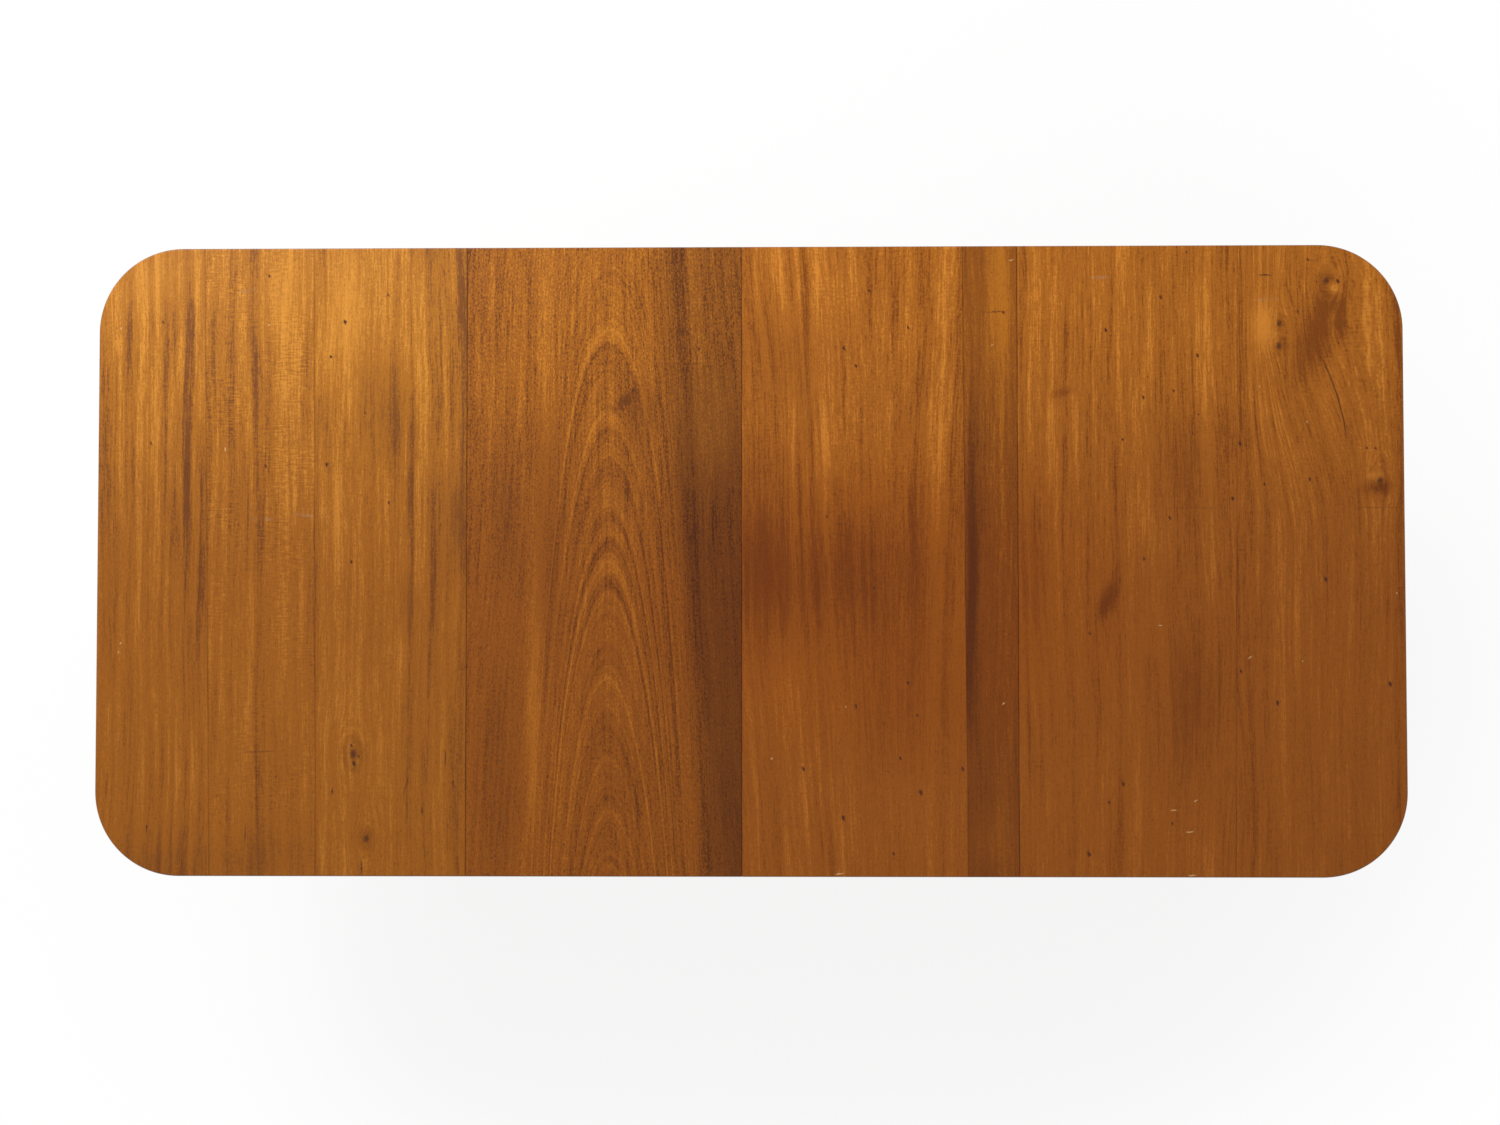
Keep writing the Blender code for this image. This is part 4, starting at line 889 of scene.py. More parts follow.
def pin_shape(name, radius, reach, low_x, y):
    """A dowel or the room for one, along +X from just inside its section."""
    taper = DOWEL_TAPER_SHARE * radius
    profile = [(radius, -radius), (radius, reach - taper), (radius - taper / 2, reach)]
    pin = turned(name, profile, SMALL_SIDES)
    middle = (TOP_LOW.z + TOP_HIGH.z) / 2
    pin.data.transform(Matrix.Translation((low_x, y, middle)) @ Matrix.Rotation(pi / 2, 4, "Y"))
    return pin


class TABLE_OT_top_sections(Operator):
    """Make the four sections of the top, board by board"""
    bl_idname = "table.top_sections"
    bl_label = "Top Sections"

    def execute(self, context):
        for node, section in SECTIONS.items():
            self.make_section(context.scene.table_top, node, *section)
        return {"FINISHED"}

    def make_section(self, sizes, node, joint, boards, glue_lines):
        """The section's span leaves out the dowels that stand out of it."""
        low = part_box(node)[0].x
        high = JOINTS[joint] - SEAM_GAP / 2 if joint else TOP_HIGH.x
        outer = {"left_end_top": low, "right_end_top": high}.get(node)
        top, under = TOP_HIGH.z, TOP_LOW.z

        def at_joint(edge):
            return any(all_at(0, end)(edge) for end in (low, high) if end != outer)

        piece = block(node + "_boards", (low, TOP_LOW.y, under), (high, TOP_HIGH.y, top))
        if outer is not None:
            with editing(piece):
                pick(piece, "edges", lambda edge: upright(edge) and all_at(0, outer)(edge))
                bpy.ops.mesh.bevel(offset=sizes.corner_radius, segments=CORNER_STEPS)
        for level, width, segments in ((top, sizes.upper_round, 5), (under, sizes.lower_ease, 3)):
            with editing(piece):
                pick(piece, "edges", lambda edge: all_at(2, level)(edge) and not at_joint(edge))
                bpy.ops.mesh.bevel(offset=width, segments=segments)
        with editing(piece):
            pick(piece, "edges", at_joint)
            bpy.ops.mesh.bevel(offset=sizes.joint_arris, segments=2)
        for place, slant in glue_lines:
            with editing(piece, "FACE"):
                bpy.ops.mesh.select_all(action="SELECT")
                bpy.ops.mesh.bisect(plane_co=(place, 0, top), plane_no=(1, -slant, 0))
        if low > TOP_LOW.x:
            radius, reach = sizes.dowel_radius + SEAM_GAP, sizes.dowel_reach + SEAM_GAP
            for y in dowel_rows(sizes):
                cut(piece, pin_shape("socket", radius, reach, low, y))
        edges = [(low, 0.0), *glue_lines, (high, 0.0)]
        colors = bpy.context.scene.table_colors
        for board, board_edges in zip(boards, zip(edges, edges[1:])):
            piece.data.materials.append(BoardFinish(board, colors, board_edges).finished())
        for face in piece.data.polygons:
            centre = face.center
            face.material_index = sum(centre.x > place + slant * centre.y for place, slant in glue_lines)
        stands_for(shaded(piece), half_body(node), "mahogany", node)


class TABLE_OT_dowels(Operator):
    """Make the dowels that line the sections up"""
    bl_idname = "table.dowels"
    bl_label = "Dowels"

    def execute(self, context):
        sizes = context.scene.table_top
        radius, reach = sizes.dowel_radius, sizes.dowel_reach
        for node, (joint, *_) in SECTIONS.items():
            if joint:
                pins = [pin_shape("dowel", radius, reach, JOINTS[joint], y) for y in dowel_rows(sizes)]
                fitted(shaded(joined_up(pins, joint + "_dowels")), half_body(node), "dowel")
        return {"FINISHED"}


# Finishes below the top
GRAIN_PLACE = "grain_place"
STEEP_GRAIN = 0.9


def lay_grain(piece, along, seed=0.0):
    """Store where each point lies in its plank: across, through and along the grain."""
    along = Vector(along).normalized()
    through = Vector((0, 0, 1)) if abs(along.z) < STEEP_GRAIN else Vector((1, 0, 0))
    across = along.cross(through).normalized()
    through = across.cross(along)
    stored = piece.data.attributes.new(GRAIN_PLACE, "FLOAT_VECTOR", "POINT")
    for item, vert in zip(stored.data, piece.data.vertices):
        item.vector = (vert.co.dot(across) + seed, vert.co.dot(through), vert.co.dot(along) + seed)


def underframe_finish(colors):
    """Darker mahogany with its grain along the third of the stored places."""
    finish = new_finish("underframe_mahogany")
    across, through, along = finish.split(finish.stored_place(GRAIN_PLACE))
    slow = finish.waves(across * 6, through * 6, along * 1.5) * 0.05
    ribbons = finish.waves((across + slow) * 60, (through + slow) * 60, along * 3, detail=2.0)
    fibres = finish.waves((across + slow) * 420, (through + slow) * 420, along * 14, detail=2.0)
    pores = finish.waves(across * 1300, through * 1300, along * 110)
    color = finish.graded(0.5 + ribbons * 1.3 + fibres * 0.7, [
        (0.1, colors.frame_dark), (0.5, colors.frame_middle), (0.9, colors.frame_light)])
    pore_mask = finish.ramp(pores, 0.12, 0.26)
    color = finish.darker(color, pore_mask * 0.5, colors.pore)
    wear = finish.noise(finish.spread(finish.object_place(), 11.0), detail=4.0)
    color = finish.mix(finish.ramp(wear, 0.05, 0.35) * 0.35, color, colors.frame_light)
    roughness = 0.34 + wear * 0.22 + pore_mask * 0.15
    height = fibres * 0.3 - pore_mask * 0.6
    return finish.surface(color, roughness, height, relief=0.00006, specular_ior_level=0.35)


def brass_finish(colors):
    """Old brass, rubbed bright on the high places and brown elsewhere."""
    finish = new_finish("worn_brass")
    place = finish.object_place()
    cloud = finish.noise(finish.spread(place, 60.0), detail=5.0, roughness=0.6)
    fine = finish.noise(finish.spread(place, 900.0))
    dull = finish.ramp(cloud + fine * 0.3, -0.30, 0.25)
    color = finish.mix(dull * 0.75, colors.brass, colors.tarnish)
    roughness = 0.30 + dull * 0.22 + fine * 0.12
    return finish.surface(color, roughness, fine * 0.5 + cloud, relief=0.0001, metallic=1.0)


def iron_finish(colors):
    """Blackened iron with a little rust."""
    finish = new_finish("blackened_iron")
    cloud = finish.noise(finish.spread(finish.object_place(), 90.0), detail=6.0)
    rust = finish.ramp(cloud, 0.08, 0.28)
    color = finish.mix(rust * 0.7, colors.iron, colors.rust)
    return finish.surface(color, 0.5 + rust * 0.35, cloud, relief=0.0003, metallic=0.6)


def dowel_finish(colors):
    """Pale turned beech, a little grubby."""
    finish = new_finish("beech_dowel")
    x, y, z = finish.split(finish.object_place())
    fibres = finish.waves(x * 40, y * 700, z * 700, detail=2.0)
    grime = finish.noise(finish.spread(finish.object_place(), 120.0), detail=3.0)
    color = finish.mix(finish.ramp(fibres + grime, -0.2, 0.3), colors.beech, colors.underside)
    return finish.surface(color, 0.55 + grime * 0.2, fibres, relief=0.0001)


FINISHES = {"mahogany": underframe_finish, "brass": brass_finish, "iron": iron_finish, "dowel": dowel_finish}
made_finishes = {}


def finish_of(kind):
    """One finish for all pieces of a kind."""
    if kind not in made_finishes:
        made_finishes[kind] = FINISHES[kind](bpy.context.scene.table_colors)
    return made_finishes[kind]


def fitted(piece, body, kind, *nodes):
    """The piece in its finish, on its body and in place of its CAD nodes."""
    slot = "mahogany" if kind == "dowel" else kind
    return stands_for(dressed(piece, finish_of(kind)), body, slot, *nodes)


# Places of the pedestals
def pedestal_place(half):
    low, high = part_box(half + "_column")
    return Vector(((low.x + high.x) / 2, 0, 0))


def leg_frame(half, leg):
    """Where a leg's own frame stands, with +X along the leg."""
    step = LEGS.index(leg) * 2 * pi / len(LEGS)
    turn = step if half == "left" else pi - step
    return Matrix.Translation(pedestal_place(half)) @ Matrix.Rotation(turn, 4, "Z")


def each_leg():
    for half in HALVES:
        for leg in LEGS:
            yield half, leg, leg_frame(half, leg)


def curve_points(start, end, shares, steps):
    """A curve from start to end, pulled by two points given as shares of its run and rise."""
    run, rise = end[0] - start[0], end[1] - start[1]
    pulls = [(start[0] + across * run, start[1] + along * rise, 0) for across, along in shares]
    points = interpolate_bezier((*start, 0), *pulls, (*end, 0), steps + 1)
    return [(point.x, point.y) for point in points]


def level_at(points, place):
    """The height of a curve that runs towards +X, at one place."""
    for (x, z), (next_x, next_z) in zip(points, points[1:]):
        if x <= place <= next_x:
            return z + (next_z - z) * (place - x) / (next_x - x)
    return points[0][1] if place < points[0][0] else points[-1][1]


BEAD_STEPS = 12
CURVE_STEPS = 20
DRUM_EDGE_STEPS = 6
COLUMN_SIDES = 96
COVE_SHARES = ((0.0, 0.45), (0.35, 1.0))
BELLY_PLACE_SHARE = 0.30
VASE_SHOULDER_SHARE = 0.45
VASE_BELLY_SHARE = 0.38


class TABLE_OT_columns(Operator):
    """Turn the two columns"""
    bl_idname = "table.columns"
    bl_label = "Columns"

    def execute(self, context):
        sizes = context.scene.table_pedestal
        column = shaded(turned("column", self.profile(sizes), COLUMN_SIDES), angle=28)
        lay_grain(column, (0, 0, 1))
        for half in HALVES:
            piece = copied(column, half + "_turned_column", Matrix.Translation(pedestal_place(half)))
            fitted(piece, half + "_half", "mahogany", half + "_column")
        discard(column)
        return {"FINISHED"}

    def bead(self, radius, height, size):
        angles = [-pi / 2 + pi * step / BEAD_STEPS for step in range(BEAD_STEPS + 1)]
        return [(radius + size * cos(angle), height + size * sin(angle)) for angle in angles]

    def profile(self, sizes):
        foot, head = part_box("left_column")[0].z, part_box("left_column")[1].z
        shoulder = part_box("left_block")[0].z - SEAM_GAP
        capital_foot = shoulder - sizes.capital_lip
        drum_top = foot + sizes.drum_height
        lower_bead = drum_top + sizes.bead_radius
        upper_bead = shoulder - sizes.upper_bead
        vase_foot = lower_bead + sizes.bead_radius
        vase_top = upper_bead - sizes.bead_radius
        belly = (sizes.belly_radius, vase_foot + BELLY_PLACE_SHARE * (vase_top - vase_foot))
        foot_shares = ((0.0, 1 - VASE_BELLY_SHARE), (1.0, 1 - VASE_BELLY_SHARE))
        shoulder_shares = ((0.0, VASE_BELLY_SHARE), (1.0, 1 - VASE_SHOULDER_SHARE))
        edge = sizes.drum_edge
        angles = [pi / 2 * step / DRUM_EDGE_STEPS for step in range(DRUM_EDGE_STEPS + 1)]
        neck = (sizes.neck_radius, capital_foot - sizes.capital_sweep)
        return [
            (sizes.drum_radius, foot),
            *((sizes.drum_radius - edge * (1 - cos(angle)), drum_top - edge * (1 - sin(angle)))
              for angle in angles),
            *self.bead(sizes.waist_radius + sizes.bead_radius, lower_bead, sizes.bead_radius),
            *curve_points((sizes.waist_radius, vase_foot), belly, foot_shares, CURVE_STEPS),
            *curve_points(belly, (sizes.neck_radius, vase_top), shoulder_shares, CURVE_STEPS)[1:],
            *self.bead(sizes.neck_radius, upper_bead, sizes.bead_radius)[1:],
            *curve_points(neck, (sizes.drum_radius, capital_foot), COVE_SHARES, CURVE_STEPS),
            (sizes.drum_radius, shoulder),
            (sizes.tenon_radius, shoulder),
            (sizes.tenon_radius, head),
        ]


LEG_UPPER_SHARES = ((0.30, 0.02), (0.55, 0.93))
LEG_LOWER_SHARES = ((0.25, 0.12), (0.50, 1.00))
LEG_START_SHARE = 0.8
LEG_STATIONS = 30
LEG_CURVE_STEPS = 4 * LEG_STATIONS
GRAIN_SHIFT = Vector((0.7, 0, 1.3))
CAP_REVEAL = 0.001
CAP_NOSE_RADIUS = 0.010
CAP_BASE = 0.004
CAP_RIM_PROUD = 0.0012
STEM_RADIUS = 0.004
STEM_HEAD_RADIUS = 0.0065
STEM_HEAD_HEIGHT = 0.002
STEM_SIDES = 40
RUN_GAP = 0.0004


def cap_levels(sizes):
    """The bottom and the top of a toe cap, without its rim."""
    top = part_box("left_cap_inner")[1].z - CAP_RIM_PROUD
    return top - sizes.cap_height, top


def stem_shape(name, radius, low, high, sizes):
    """A round room where a caster's stem goes, in a leg's own frame."""
    room = turned(name, [(radius, low), (radius, high)], STEM_SIDES)
    room.data.transform(Matrix.Translation((sizes.leg_reach - sizes.stem_setback, 0, 0)))
    return room


class TABLE_OT_legs(Operator):
    """Make the six splayed legs"""
    bl_idname = "table.legs"
    bl_label = "Legs"

    def execute(self, context):
        leg = self.make_leg(context.scene.table_pedestal)
        for number, (half, name, place) in enumerate(each_leg()):
            node = f"{half}_leg_{name}"
            piece = copied(leg, node + "_shaped", place)
            for item in piece.data.attributes[GRAIN_PLACE].data:
                item.vector = item.vector + number * GRAIN_SHIFT
            fitted(piece, half + "_half", "mahogany", node)
        discard(leg)
        return {"FINISHED"}

    def stations(self, sizes, toe):
        """The leg's outline from inside the drum to the toe, as (place, half width, bottom, top)."""
        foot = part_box("left_column")[0].z
        cap_bottom, cap_top = cap_levels(sizes)
        upper = curve_points(
            (sizes.drum_radius, foot + sizes.leg_root), (toe, cap_top - CAP_REVEAL),
            LEG_UPPER_SHARES, LEG_CURVE_STEPS)
        lower = curve_points(
            (sizes.leg_seat, foot), (toe, cap_bottom + CAP_REVEAL), LEG_LOWER_SHARES, LEG_CURVE_STEPS)
        toe_half = sizes.cap_width / 2 - CAP_REVEAL
        start = LEG_START_SHARE * sizes.drum_radius
        for number in range(LEG_STATIONS + 1):
            place = start + (toe - start) * number / LEG_STATIONS
            share = max(place - sizes.drum_radius, 0) / (toe - sizes.drum_radius)
            half = sizes.leg_thickness / 2 * (1 - share) + toe_half * share
            yield place, half, level_at(lower, place), level_at(upper, place)

    def make_leg(self, sizes):
        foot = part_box("left_column")[0].z
        cap_bottom, cap_top = cap_levels(sizes)
        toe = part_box("left_cap_inner")[0].x - pedestal_place("left").x - SEAM_GAP
        stations = list(self.stations(sizes, toe))
        leg = eased(drawn_out("leg", stations), sizes.leg_edge, 4)
        radius = sizes.drum_radius + SEAM_GAP
        drum = [(radius, foot - radius), (radius, foot + sizes.leg_root + radius)]
        cut(leg, turned("drum", drum, COLUMN_SIDES))
        wall = sizes.cap_wall + SEAM_GAP
        across = sizes.cap_width / 2 - wall
        base = cap_bottom + CAP_BASE
        joined(leg, rounded_nose(
            "tongue", (toe - wall, -across, base + SEAM_GAP),
            (sizes.leg_reach - wall, across, cap_top - wall), CAP_NOSE_RADIUS - sizes.cap_wall))
        pocket_top = base + STEM_HEAD_HEIGHT + 2 * RUN_GAP
        cut(leg, stem_shape("pocket", STEM_HEAD_RADIUS + RUN_GAP, cap_bottom, pocket_top, sizes))
        shaded(leg)
        _, _, root_bottom, root_top = stations[0]
        lay_grain(leg, (toe, 0, cap_bottom - (root_bottom + root_top) / 2))
        return leg


class TABLE_OT_toe_caps(Operator):
    """Make the six brass toe caps"""
    bl_idname = "table.toe_caps"
    bl_label = "Toe Caps"
    rim_length = 0.005
    edge = 0.0015

    def execute(self, context):
        cap = self.make_cap(context.scene.table_pedestal)
        for half, name, place in each_leg():
            node = f"{half}_cap_{name}"
            fitted(copied(cap, node + "_cast", place), half + "_half", "brass", node)
        discard(cap)
        return {"FINISHED"}

    def make_cap(self, sizes):
        bottom, top = cap_levels(sizes)
        start, end, half = sizes.leg_reach - sizes.cap_length, sizes.leg_reach, sizes.cap_width / 2
        shell = rounded_nose("cap", (start, -half, bottom), (end, half, top), CAP_NOSE_RADIUS)
        cap = eased(shell, self.edge, 3)
        rim = block("rim", (start, -half - CAP_RIM_PROUD, bottom - CAP_RIM_PROUD / 2),
                    (start + self.rim_length, half + CAP_RIM_PROUD, top + CAP_RIM_PROUD))
        joined(cap, eased(rim, CAP_RIM_PROUD, 3))
        wall = sizes.cap_wall
        cut(cap, rounded_nose("cavity", (start - wall, wall - half, bottom + CAP_BASE),
                              (end - wall, half - wall, top - wall), CAP_NOSE_RADIUS - wall))
        cut(cap, stem_shape("bore", STEM_RADIUS + RUN_GAP, bottom - wall, bottom + CAP_BASE + wall, sizes))
        return shaded(cap)


class TABLE_OT_casters(Operator):
    """Make the six swivel casters"""
    bl_idname = "table.casters"
    bl_label = "Casters"
    cheek = 0.0025
    crown = 0.0035
    crown_front = 0.0105
    crown_back = 0.007
    crown_proud = 0.0005
    crown_round = 0.004
    crown_edge = 0.0006
    room = 0.002
    eye_radius = 0.006
    eye_touch = radians(17)
    boss_radius = 0.009
    boss_height = 0.0015
    axle_radius = 0.003
    rivet_proud = 0.0009
    rivet_round = 0.0006
    rivet_share = 0.6
    edge = 0.0003
    hub_radius = 0.0075
    hub_proud = 0.0008
    hub_flare = 0.0006
    hub_hollow = 0.0006
    rim_hollow = 0.0008
    rim_width = 0.001
    tread_crown = 0.0015

    def execute(self, context):
        sizes = context.scene.table_pedestal
        horn, wheel = self.make_horn(sizes), self.make_wheel(sizes)
        stem = Matrix.Translation((sizes.leg_reach - sizes.stem_setback, 0, 0)) @ Matrix.Rotation(pi, 4, "Z")
        for half, name, place in each_leg():
            for source, part in ((horn, "horn"), (wheel, "wheel")):
                node = f"{half}_{part}_{name}"
                fitted(copied(source, node + "_cast", place @ stem), node, "brass", node)
        discard(horn, wheel)
        return {"FINISHED"}

    def lay_on_axle(self, piece, sizes):
        place = Matrix.Translation((sizes.trail, 0, sizes.wheel_radius)) @ Matrix.Rotation(-pi / 2, 4, "X")
        piece.data.transform(place)
        return piece

    def make_horn(self, sizes):
        inside = sizes.wheel_width / 2 + self.hub_proud + RUN_GAP
        outside = inside + self.cheek
        bottom = 2 * sizes.wheel_radius + self.room
        middle = bottom + self.crown / 2
        front, back = -self.crown_front, sizes.trail + self.crown_back
        half = outside + self.crown_proud
        horn = block("horn", (front, -half, bottom), (back, half, bottom + self.crown))
        with editing(horn):
            pick(horn, "edges", upright)
            bpy.ops.mesh.bevel(offset=self.crown_round, segments=6)
        eased(horn, self.crown_edge)
        wide_start, wide_end = front + self.crown_round, back - self.crown_round / 2
        for side in (-1, 1):
            low, high = sorted((side * inside, side * outside))
            cheek = self.make_cheek(sizes, (wide_start, low), (wide_end, high), middle)
            eye = turned("eye", [(self.eye_radius, low), (self.eye_radius, high)], SMALL_SIDES)
            joined(horn, joined(cheek, self.lay_on_axle(eye, sizes)))
        joined(horn, self.make_axle(sizes, outside + self.rivet_proud))
        boss = bottom + self.crown + self.boss_height
        neck = cap_levels(sizes)[0] + CAP_BASE + RUN_GAP
        stem = turned("stem", [
            (self.boss_radius, middle), (self.boss_radius, boss), (STEM_RADIUS, boss), (STEM_RADIUS, neck),
            (STEM_HEAD_RADIUS, neck), (STEM_HEAD_RADIUS, neck + STEM_HEAD_HEIGHT)], STEM_SIDES)
        return shaded(eased(joined(horn, stem), self.edge))

    def make_cheek(self, sizes, start, end, top):
        """A cheek narrows down to touch its round eye on both sides, a little below the axle."""
        foot = sizes.wheel_radius - self.eye_radius * sin(self.eye_touch)
        narrow_half = self.eye_radius * cos(self.eye_touch)
        narrowing = 2 * narrow_half / (end[0] - start[0])
        still_place = (sizes.trail - narrow_half - narrowing * start[0]) / (1 - narrowing)
        cheek = block("cheek", (*start, foot), (*end, top))
        with editing(cheek, "FACE"):
            pick(cheek, "faces", all_at(2, foot))
            bpy.ops.transform.resize(value=(narrowing, 1, 1), center_override=(still_place, 0, foot))
        return cheek

    def make_axle(self, sizes, end):
        """The axle pin, its two ends riveted over."""
        narrow, full, rivet = self.rivet_share * self.axle_radius, self.axle_radius, end - self.rivet_round
        axle = turned("axle", [(narrow, -end), (full, -rivet), (full, rivet), (narrow, end)], SMALL_SIDES)
        return self.lay_on_axle(axle, sizes)

    def make_wheel(self, sizes):
        half, radius = sizes.wheel_width / 2, sizes.wheel_radius
        tread = radius - self.tread_crown
        side = [(self.hub_radius, -half - self.hub_proud),
                (self.hub_radius + self.hub_flare, self.hub_hollow - half),
                (tread - self.rim_width, self.rim_hollow - half),
                (tread, -half), (radius, self.tread_crown - half)]
        wheel = turned("wheel", side + [(ring, -level) for ring, level in reversed(side)])
        bore = self.axle_radius + RUN_GAP
        cut(wheel, turned("bore", [(bore, -2 * half), (bore, 2 * half)], SMALL_SIDES))
        return shaded(self.lay_on_axle(wheel, sizes))


class TABLE_OT_underframe(Operator):
    """Make the blocks, bearers, lopers and iron plates"""
    bl_idname = "table.underframe"
    bl_label = "Underframe"
    wood_edge = 0.0012
    iron_edge = 0.0006
    block_seed = 11.3
    bearer_seed = 3.7
    loper_seed = 5.9

    def execute(self, context):
        number = 0
        for half in HALVES:
            frame_body = half + "_half"
            self.finish_wood(half + "_block", frame_body, (0, 1, 0), self.block_seed + number)
            plate = half + "_spider"
            iron = shaded(eased(from_node(plate, plate + "_eased"), self.iron_edge))
            fitted(iron, frame_body, "iron", plate)
            for side in SIDES:
                number += 1
                loper = f"{half}_loper_{side}"
                self.finish_wood(f"{half}_bearer_{side}", frame_body, (1, 0, 0), self.bearer_seed * number)
                self.finish_wood(loper, loper, (1, 0, 0), self.loper_seed * number)
        return {"FINISHED"}

    def finish_wood(self, node, body, along, seed):
        piece = shaded(eased(from_node(node, node + "_eased"), self.wood_edge))
        lay_grain(piece, along, seed)
        fitted(piece, body, "mahogany", node)


class TABLE_OT_clips(Operator):
    """Make the forks and keepers of the leaves and the hook catches"""
    bl_idname = "table.clips"
    bl_label = "Forks and Catches"
    edge = 0.0004
    angle = 40

    def execute(self, context):
        for half in HALVES:
            for side in SIDES:
                fork = f"{half}_fork_{side}"
                self.finish_node(fork, fork)
                for owner in ("end", "leaf"):
                    self.finish_node(f"{half}_{owner}_keeper_{side}", half + "_half")
        for side in SIDES:
            self.finish_node("catch_pivot_" + side, "left_half")
            self.finish_node("catch_hook_" + side, "catch_hook_" + side)
            self.finish_node("catch_stud_" + side, "right_half")
        return {"FINISHED"}

    def finish_node(self, node, body):
        piece = eased(from_node(node, node + "_filed"), self.edge, angle=self.angle)
        fitted(shaded(piece, self.angle), body, "brass", node)


class TABLE_OT_screws(Operator):
    """Drive the screws that hold the blocks, bearers, plates, keepers and caps"""
    bl_idname = "table.screws"
    bl_label = "Screws"
    head = 0.0011
    head_side = 0.0004
    dome_shares = ((0.8, 0.8), (0.4, 1.0))
    sunk = 0.0002
    slot_share = 0.14
    sides = 24
    radii = {"block": 0.0052, "bearer": 0.0048, "keeper": 0.0026, "plate": 0.0040, "cap": 0.0032}
    block_share = 0.37
    bearer_shares = (-0.27, 0.0, 0.27)
    plate_shares = (0.72, 1.45)
    cap_share = 0.6
    keeper_inset = 0.005
    keeper_rise = 0.002

    def execute(self, context):
        sizes = context.scene.table_pedestal
        for half in HALVES:
            heads = [self.drive(self.radii[held], place, held == "cap")
                     for held, place in self.places(half, sizes)]
            fitted(joined_up(heads, half + "_screws"), half + "_half", "brass")
        return {"FINISHED"}

    def drive(self, radius, place, upward):
        """A slotted head, domed, a little proud of what it holds."""
        rise = self.head
        dome = [(radius * across, rise * share) for across, share in self.dome_shares]
        head = turned("screw", [(radius, -self.sunk), (radius, self.head_side), *dome], self.sides)
        slot = self.slot_share * radius
        cut(head, block("slot", (-2 * radius, -slot, rise / 2), (2 * radius, slot, 2 * rise)))
        by_radius, by_x, by_y = 7919, 31, 17    # turns that leave no two slots alike
        turn = Matrix.Rotation(radius * by_radius + place[0] * by_x + place[1] * by_y, 4, "Z")
        flip = Matrix.Identity(4) if upward else Matrix.Rotation(pi, 4, "X")
        head.data.transform(Matrix.Translation(place) @ flip @ turn)
        return shaded(head)

    def places(self, half, sizes):
        """Each screw as what it holds and the place of its head."""
        centre = pedestal_place(half)
        low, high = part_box(half + "_block")
        reach = self.block_share * (high.x - low.x)
        for across in (-reach, reach):
            for along in (-reach, reach):
                yield "block", (centre.x + across, along, low.z)
        for side in SIDES:
            low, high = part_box(f"{half}_bearer_{side}")
            for share in self.bearer_shares:
                yield "bearer", (centre.x + share * (high.x - low.x), (low.y + high.y) / 2, low.z)
            for owner in ("end", "leaf"):
                low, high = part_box(f"{half}_{owner}_keeper_{side}")
                for x in (low.x + self.keeper_inset, high.x - self.keeper_inset):
                    yield "keeper", (x, (low.y + high.y) / 2, high.z - self.keeper_rise)
        plate, cap_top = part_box(half + "_spider")[0].z, cap_levels(sizes)[1]
        for leg in LEGS:
            place = leg_frame(half, leg)
            for share in self.plate_shares:
                yield "plate", place @ Vector((share * sizes.drum_radius, 0, plate))
            yield "cap", place @ Vector((sizes.leg_reach - self.cap_share * sizes.cap_length, 0, cap_top))


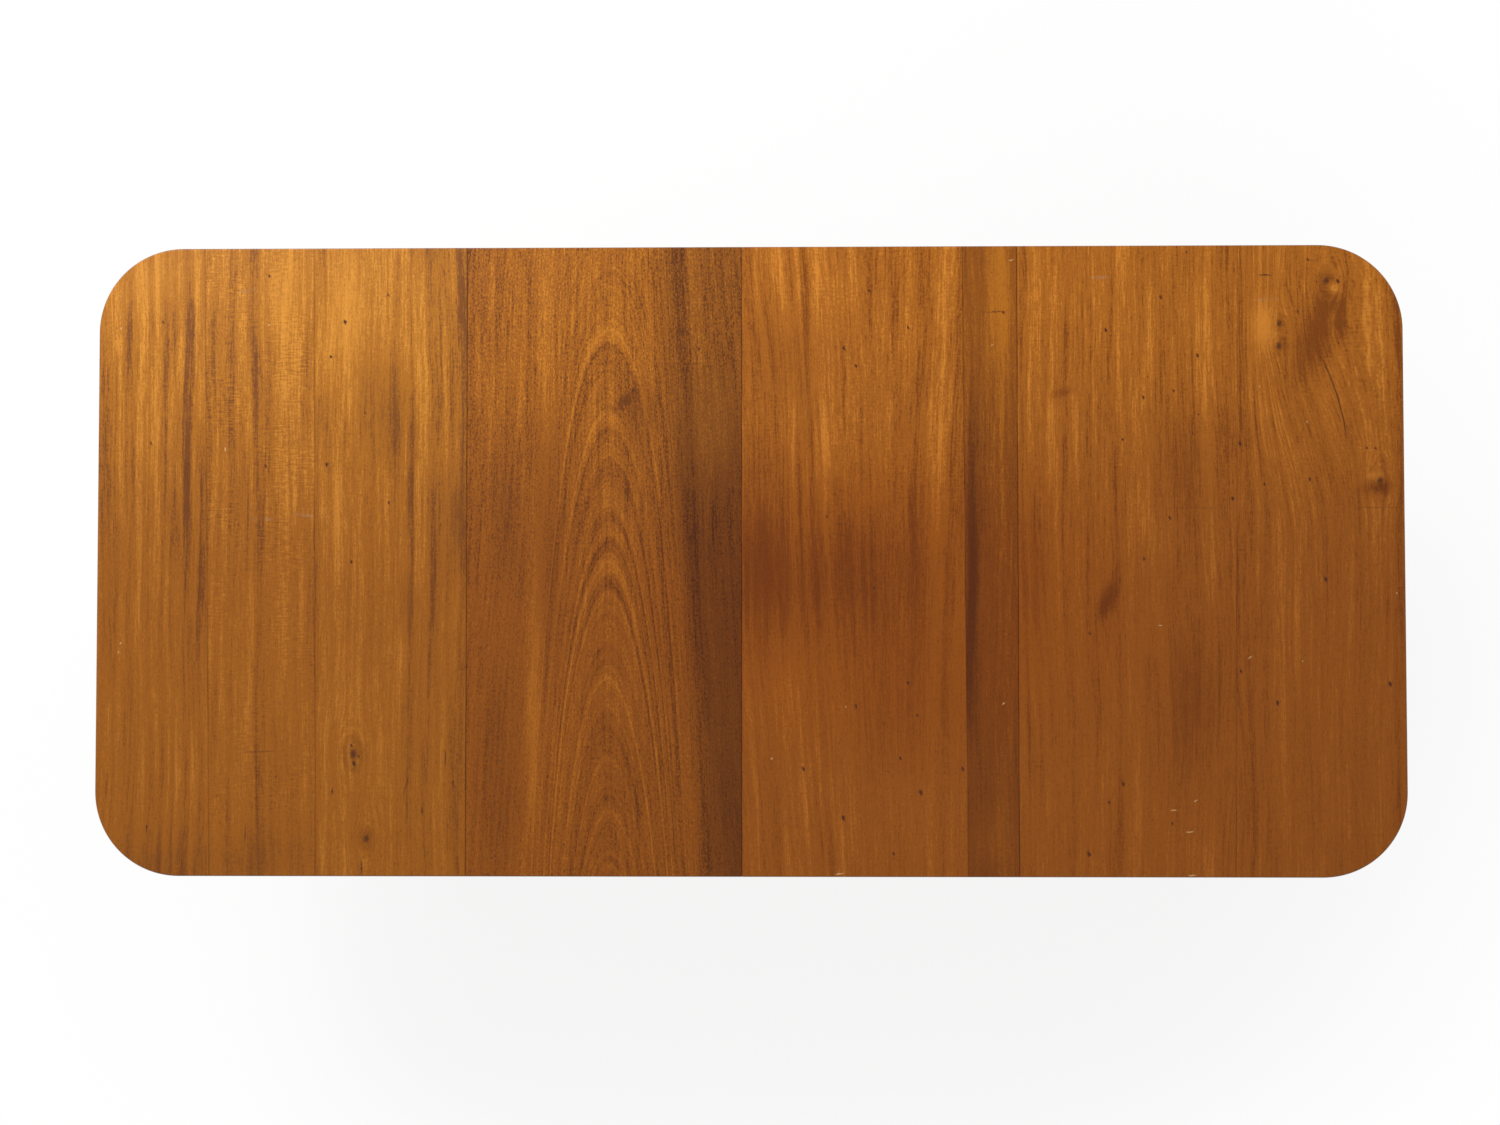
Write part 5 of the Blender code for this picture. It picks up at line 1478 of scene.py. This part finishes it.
class TABLE_OT_stage(Operator):
    """Make the floor, the light and the camera"""
    bl_idname = "table.stage"
    bl_label = "Stage"
    floor_size = 40
    floor_color = (0.90, 0.90, 0.90)
    fade_start = 1.15
    fade_end = 2.1
    whiteness = 0.85
    white = (1.0, 1.0, 1.0)

    def execute(self, context):
        settings = context.scene.table_stage
        self.make_floor()
        self.make_world(context, settings)
        self.make_lamp(settings)
        self.make_camera(context, settings)
        context.scene.view_settings.view_transform = "Standard"
        return {"FINISHED"}

    def seen_directly(self, finish):
        """1 for what the camera sees directly, in a mirror or through glass."""
        rays = finish.node("LightPath").socket.node
        camera, glossy, through = (
            Wire(finish, rays.outputs[f"Is {kind} Ray"]) for kind in ("Camera", "Glossy", "Transmission"))
        return finish.math("MINIMUM", camera + glossy + through, 1.0)

    def make_floor(self):
        """A floor that fades to white away from the shadow, and is clear from below."""
        bpy.ops.object.select_all(action="DESELECT")
        bpy.ops.mesh.primitive_plane_add(size=self.floor_size)
        floor = bpy.context.object
        floor.name = "floor"
        finish = new_finish("pale_floor")
        finish.tree.nodes.remove(finish.tree.nodes["Principled BSDF"])
        away = finish.node("VectorMath", {"operation": "LENGTH"}, {0: finish.object_place()}, output="Value")
        fading = finish.ramp(away, self.fade_start, self.fade_end, self.whiteness, 1.0)
        matt = finish.node("BsdfDiffuse", None, {"Color": self.floor_color})
        white = finish.node("Emission", None, {"Color": self.white, "Strength": 1.0})
        pale = finish.node("MixShader", None, {0: self.seen_directly(finish) * fading, 1: matt, 2: white})
        from_below = finish.node("NewGeometry", output="Backfacing")
        clear = finish.node("BsdfTransparent")
        mixed = finish.node("MixShader", None, {0: from_below, 1: pale, 2: clear})
        finish.feed(finish.tree.nodes["Material Output"].inputs["Surface"], mixed)
        dressed(floor, finish.owner)

    def make_world(self, context, settings):
        """Even light from all round, which is white where it is seen directly."""
        world = bpy.data.worlds.new("soft_room")
        context.scene.world = world
        finish = Finish(world)
        finish.tree.nodes.remove(finish.tree.nodes["Background"])
        ambient = finish.node("Background", None, {"Color": self.white, "Strength": settings.ambient})
        white = finish.node("Background", None, {"Color": self.white, "Strength": 1.0})
        mixed = finish.node("MixShader", None, {0: self.seen_directly(finish), 1: ambient, 2: white})
        finish.feed(finish.tree.nodes["World Output"].inputs["Surface"], mixed)

    def make_lamp(self, settings):
        bpy.ops.object.light_add(type="AREA", location=settings.lamp_place)
        lamp = bpy.context.object
        lamp.name = "soft_lamp"
        lamp.data.shape = "SQUARE"
        lamp.data.size = settings.lamp_size
        lamp.data.energy = settings.lamp_power
        aim = Vector((0, 0, TOP_HIGH.z)) - Vector(settings.lamp_place)
        lamp.rotation_euler = aim.to_track_quat("-Z", "Y").to_euler()

    def make_camera(self, context, settings):
        bpy.ops.object.camera_add(location=settings.camera_place, rotation=settings.camera_tilt)
        camera = context.object
        camera.name = "camera"
        camera.data.lens = settings.lens
        context.scene.camera = camera


class TABLE_PT_pieces(Panel):
    """The operators and the sizes, in the sidebar"""
    bl_label = "Double Pedestal Table"
    bl_idname = "TABLE_PT_pieces"
    bl_space_type = "VIEW_3D"
    bl_region_type = "UI"
    bl_category = "Table"

    def draw(self, context):
        for operator in OPERATORS:
            self.layout.operator(operator.bl_idname)
        for group in GROUPS:
            box = self.layout.box()
            for name in GROUPS[group].__annotations__:
                box.prop(getattr(context.scene, group), name)


GROUPS = {
    "table_top": TopSizes,
    "table_pedestal": PedestalSizes,
    "table_colors": FinishColors,
    "table_stage": StageSettings,
}
OPERATORS = (
    TABLE_OT_top_sections, TABLE_OT_dowels, TABLE_OT_columns, TABLE_OT_legs, TABLE_OT_toe_caps,
    TABLE_OT_casters, TABLE_OT_underframe, TABLE_OT_clips, TABLE_OT_screws, TABLE_OT_stage)


def register():
    for cls in (*GROUPS.values(), *OPERATORS, TABLE_PT_pieces):
        bpy.utils.register_class(cls)
    for name, group in GROUPS.items():
        setattr(bpy.types.Scene, name, PointerProperty(type=group))


def unregister():
    for name in GROUPS:
        delattr(bpy.types.Scene, name)
    for cls in (TABLE_PT_pieces, *reversed(OPERATORS), *GROUPS.values()):
        bpy.utils.unregister_class(cls)


def main():
    register()
    bpy.ops.table.top_sections()
    bpy.ops.table.dowels()
    bpy.ops.table.columns()
    bpy.ops.table.legs()
    bpy.ops.table.toe_caps()
    bpy.ops.table.casters()
    bpy.ops.table.underframe()
    bpy.ops.table.clips()
    bpy.ops.table.screws()
    bpy.ops.table.stage()


if __name__ == "__main__":
    main()
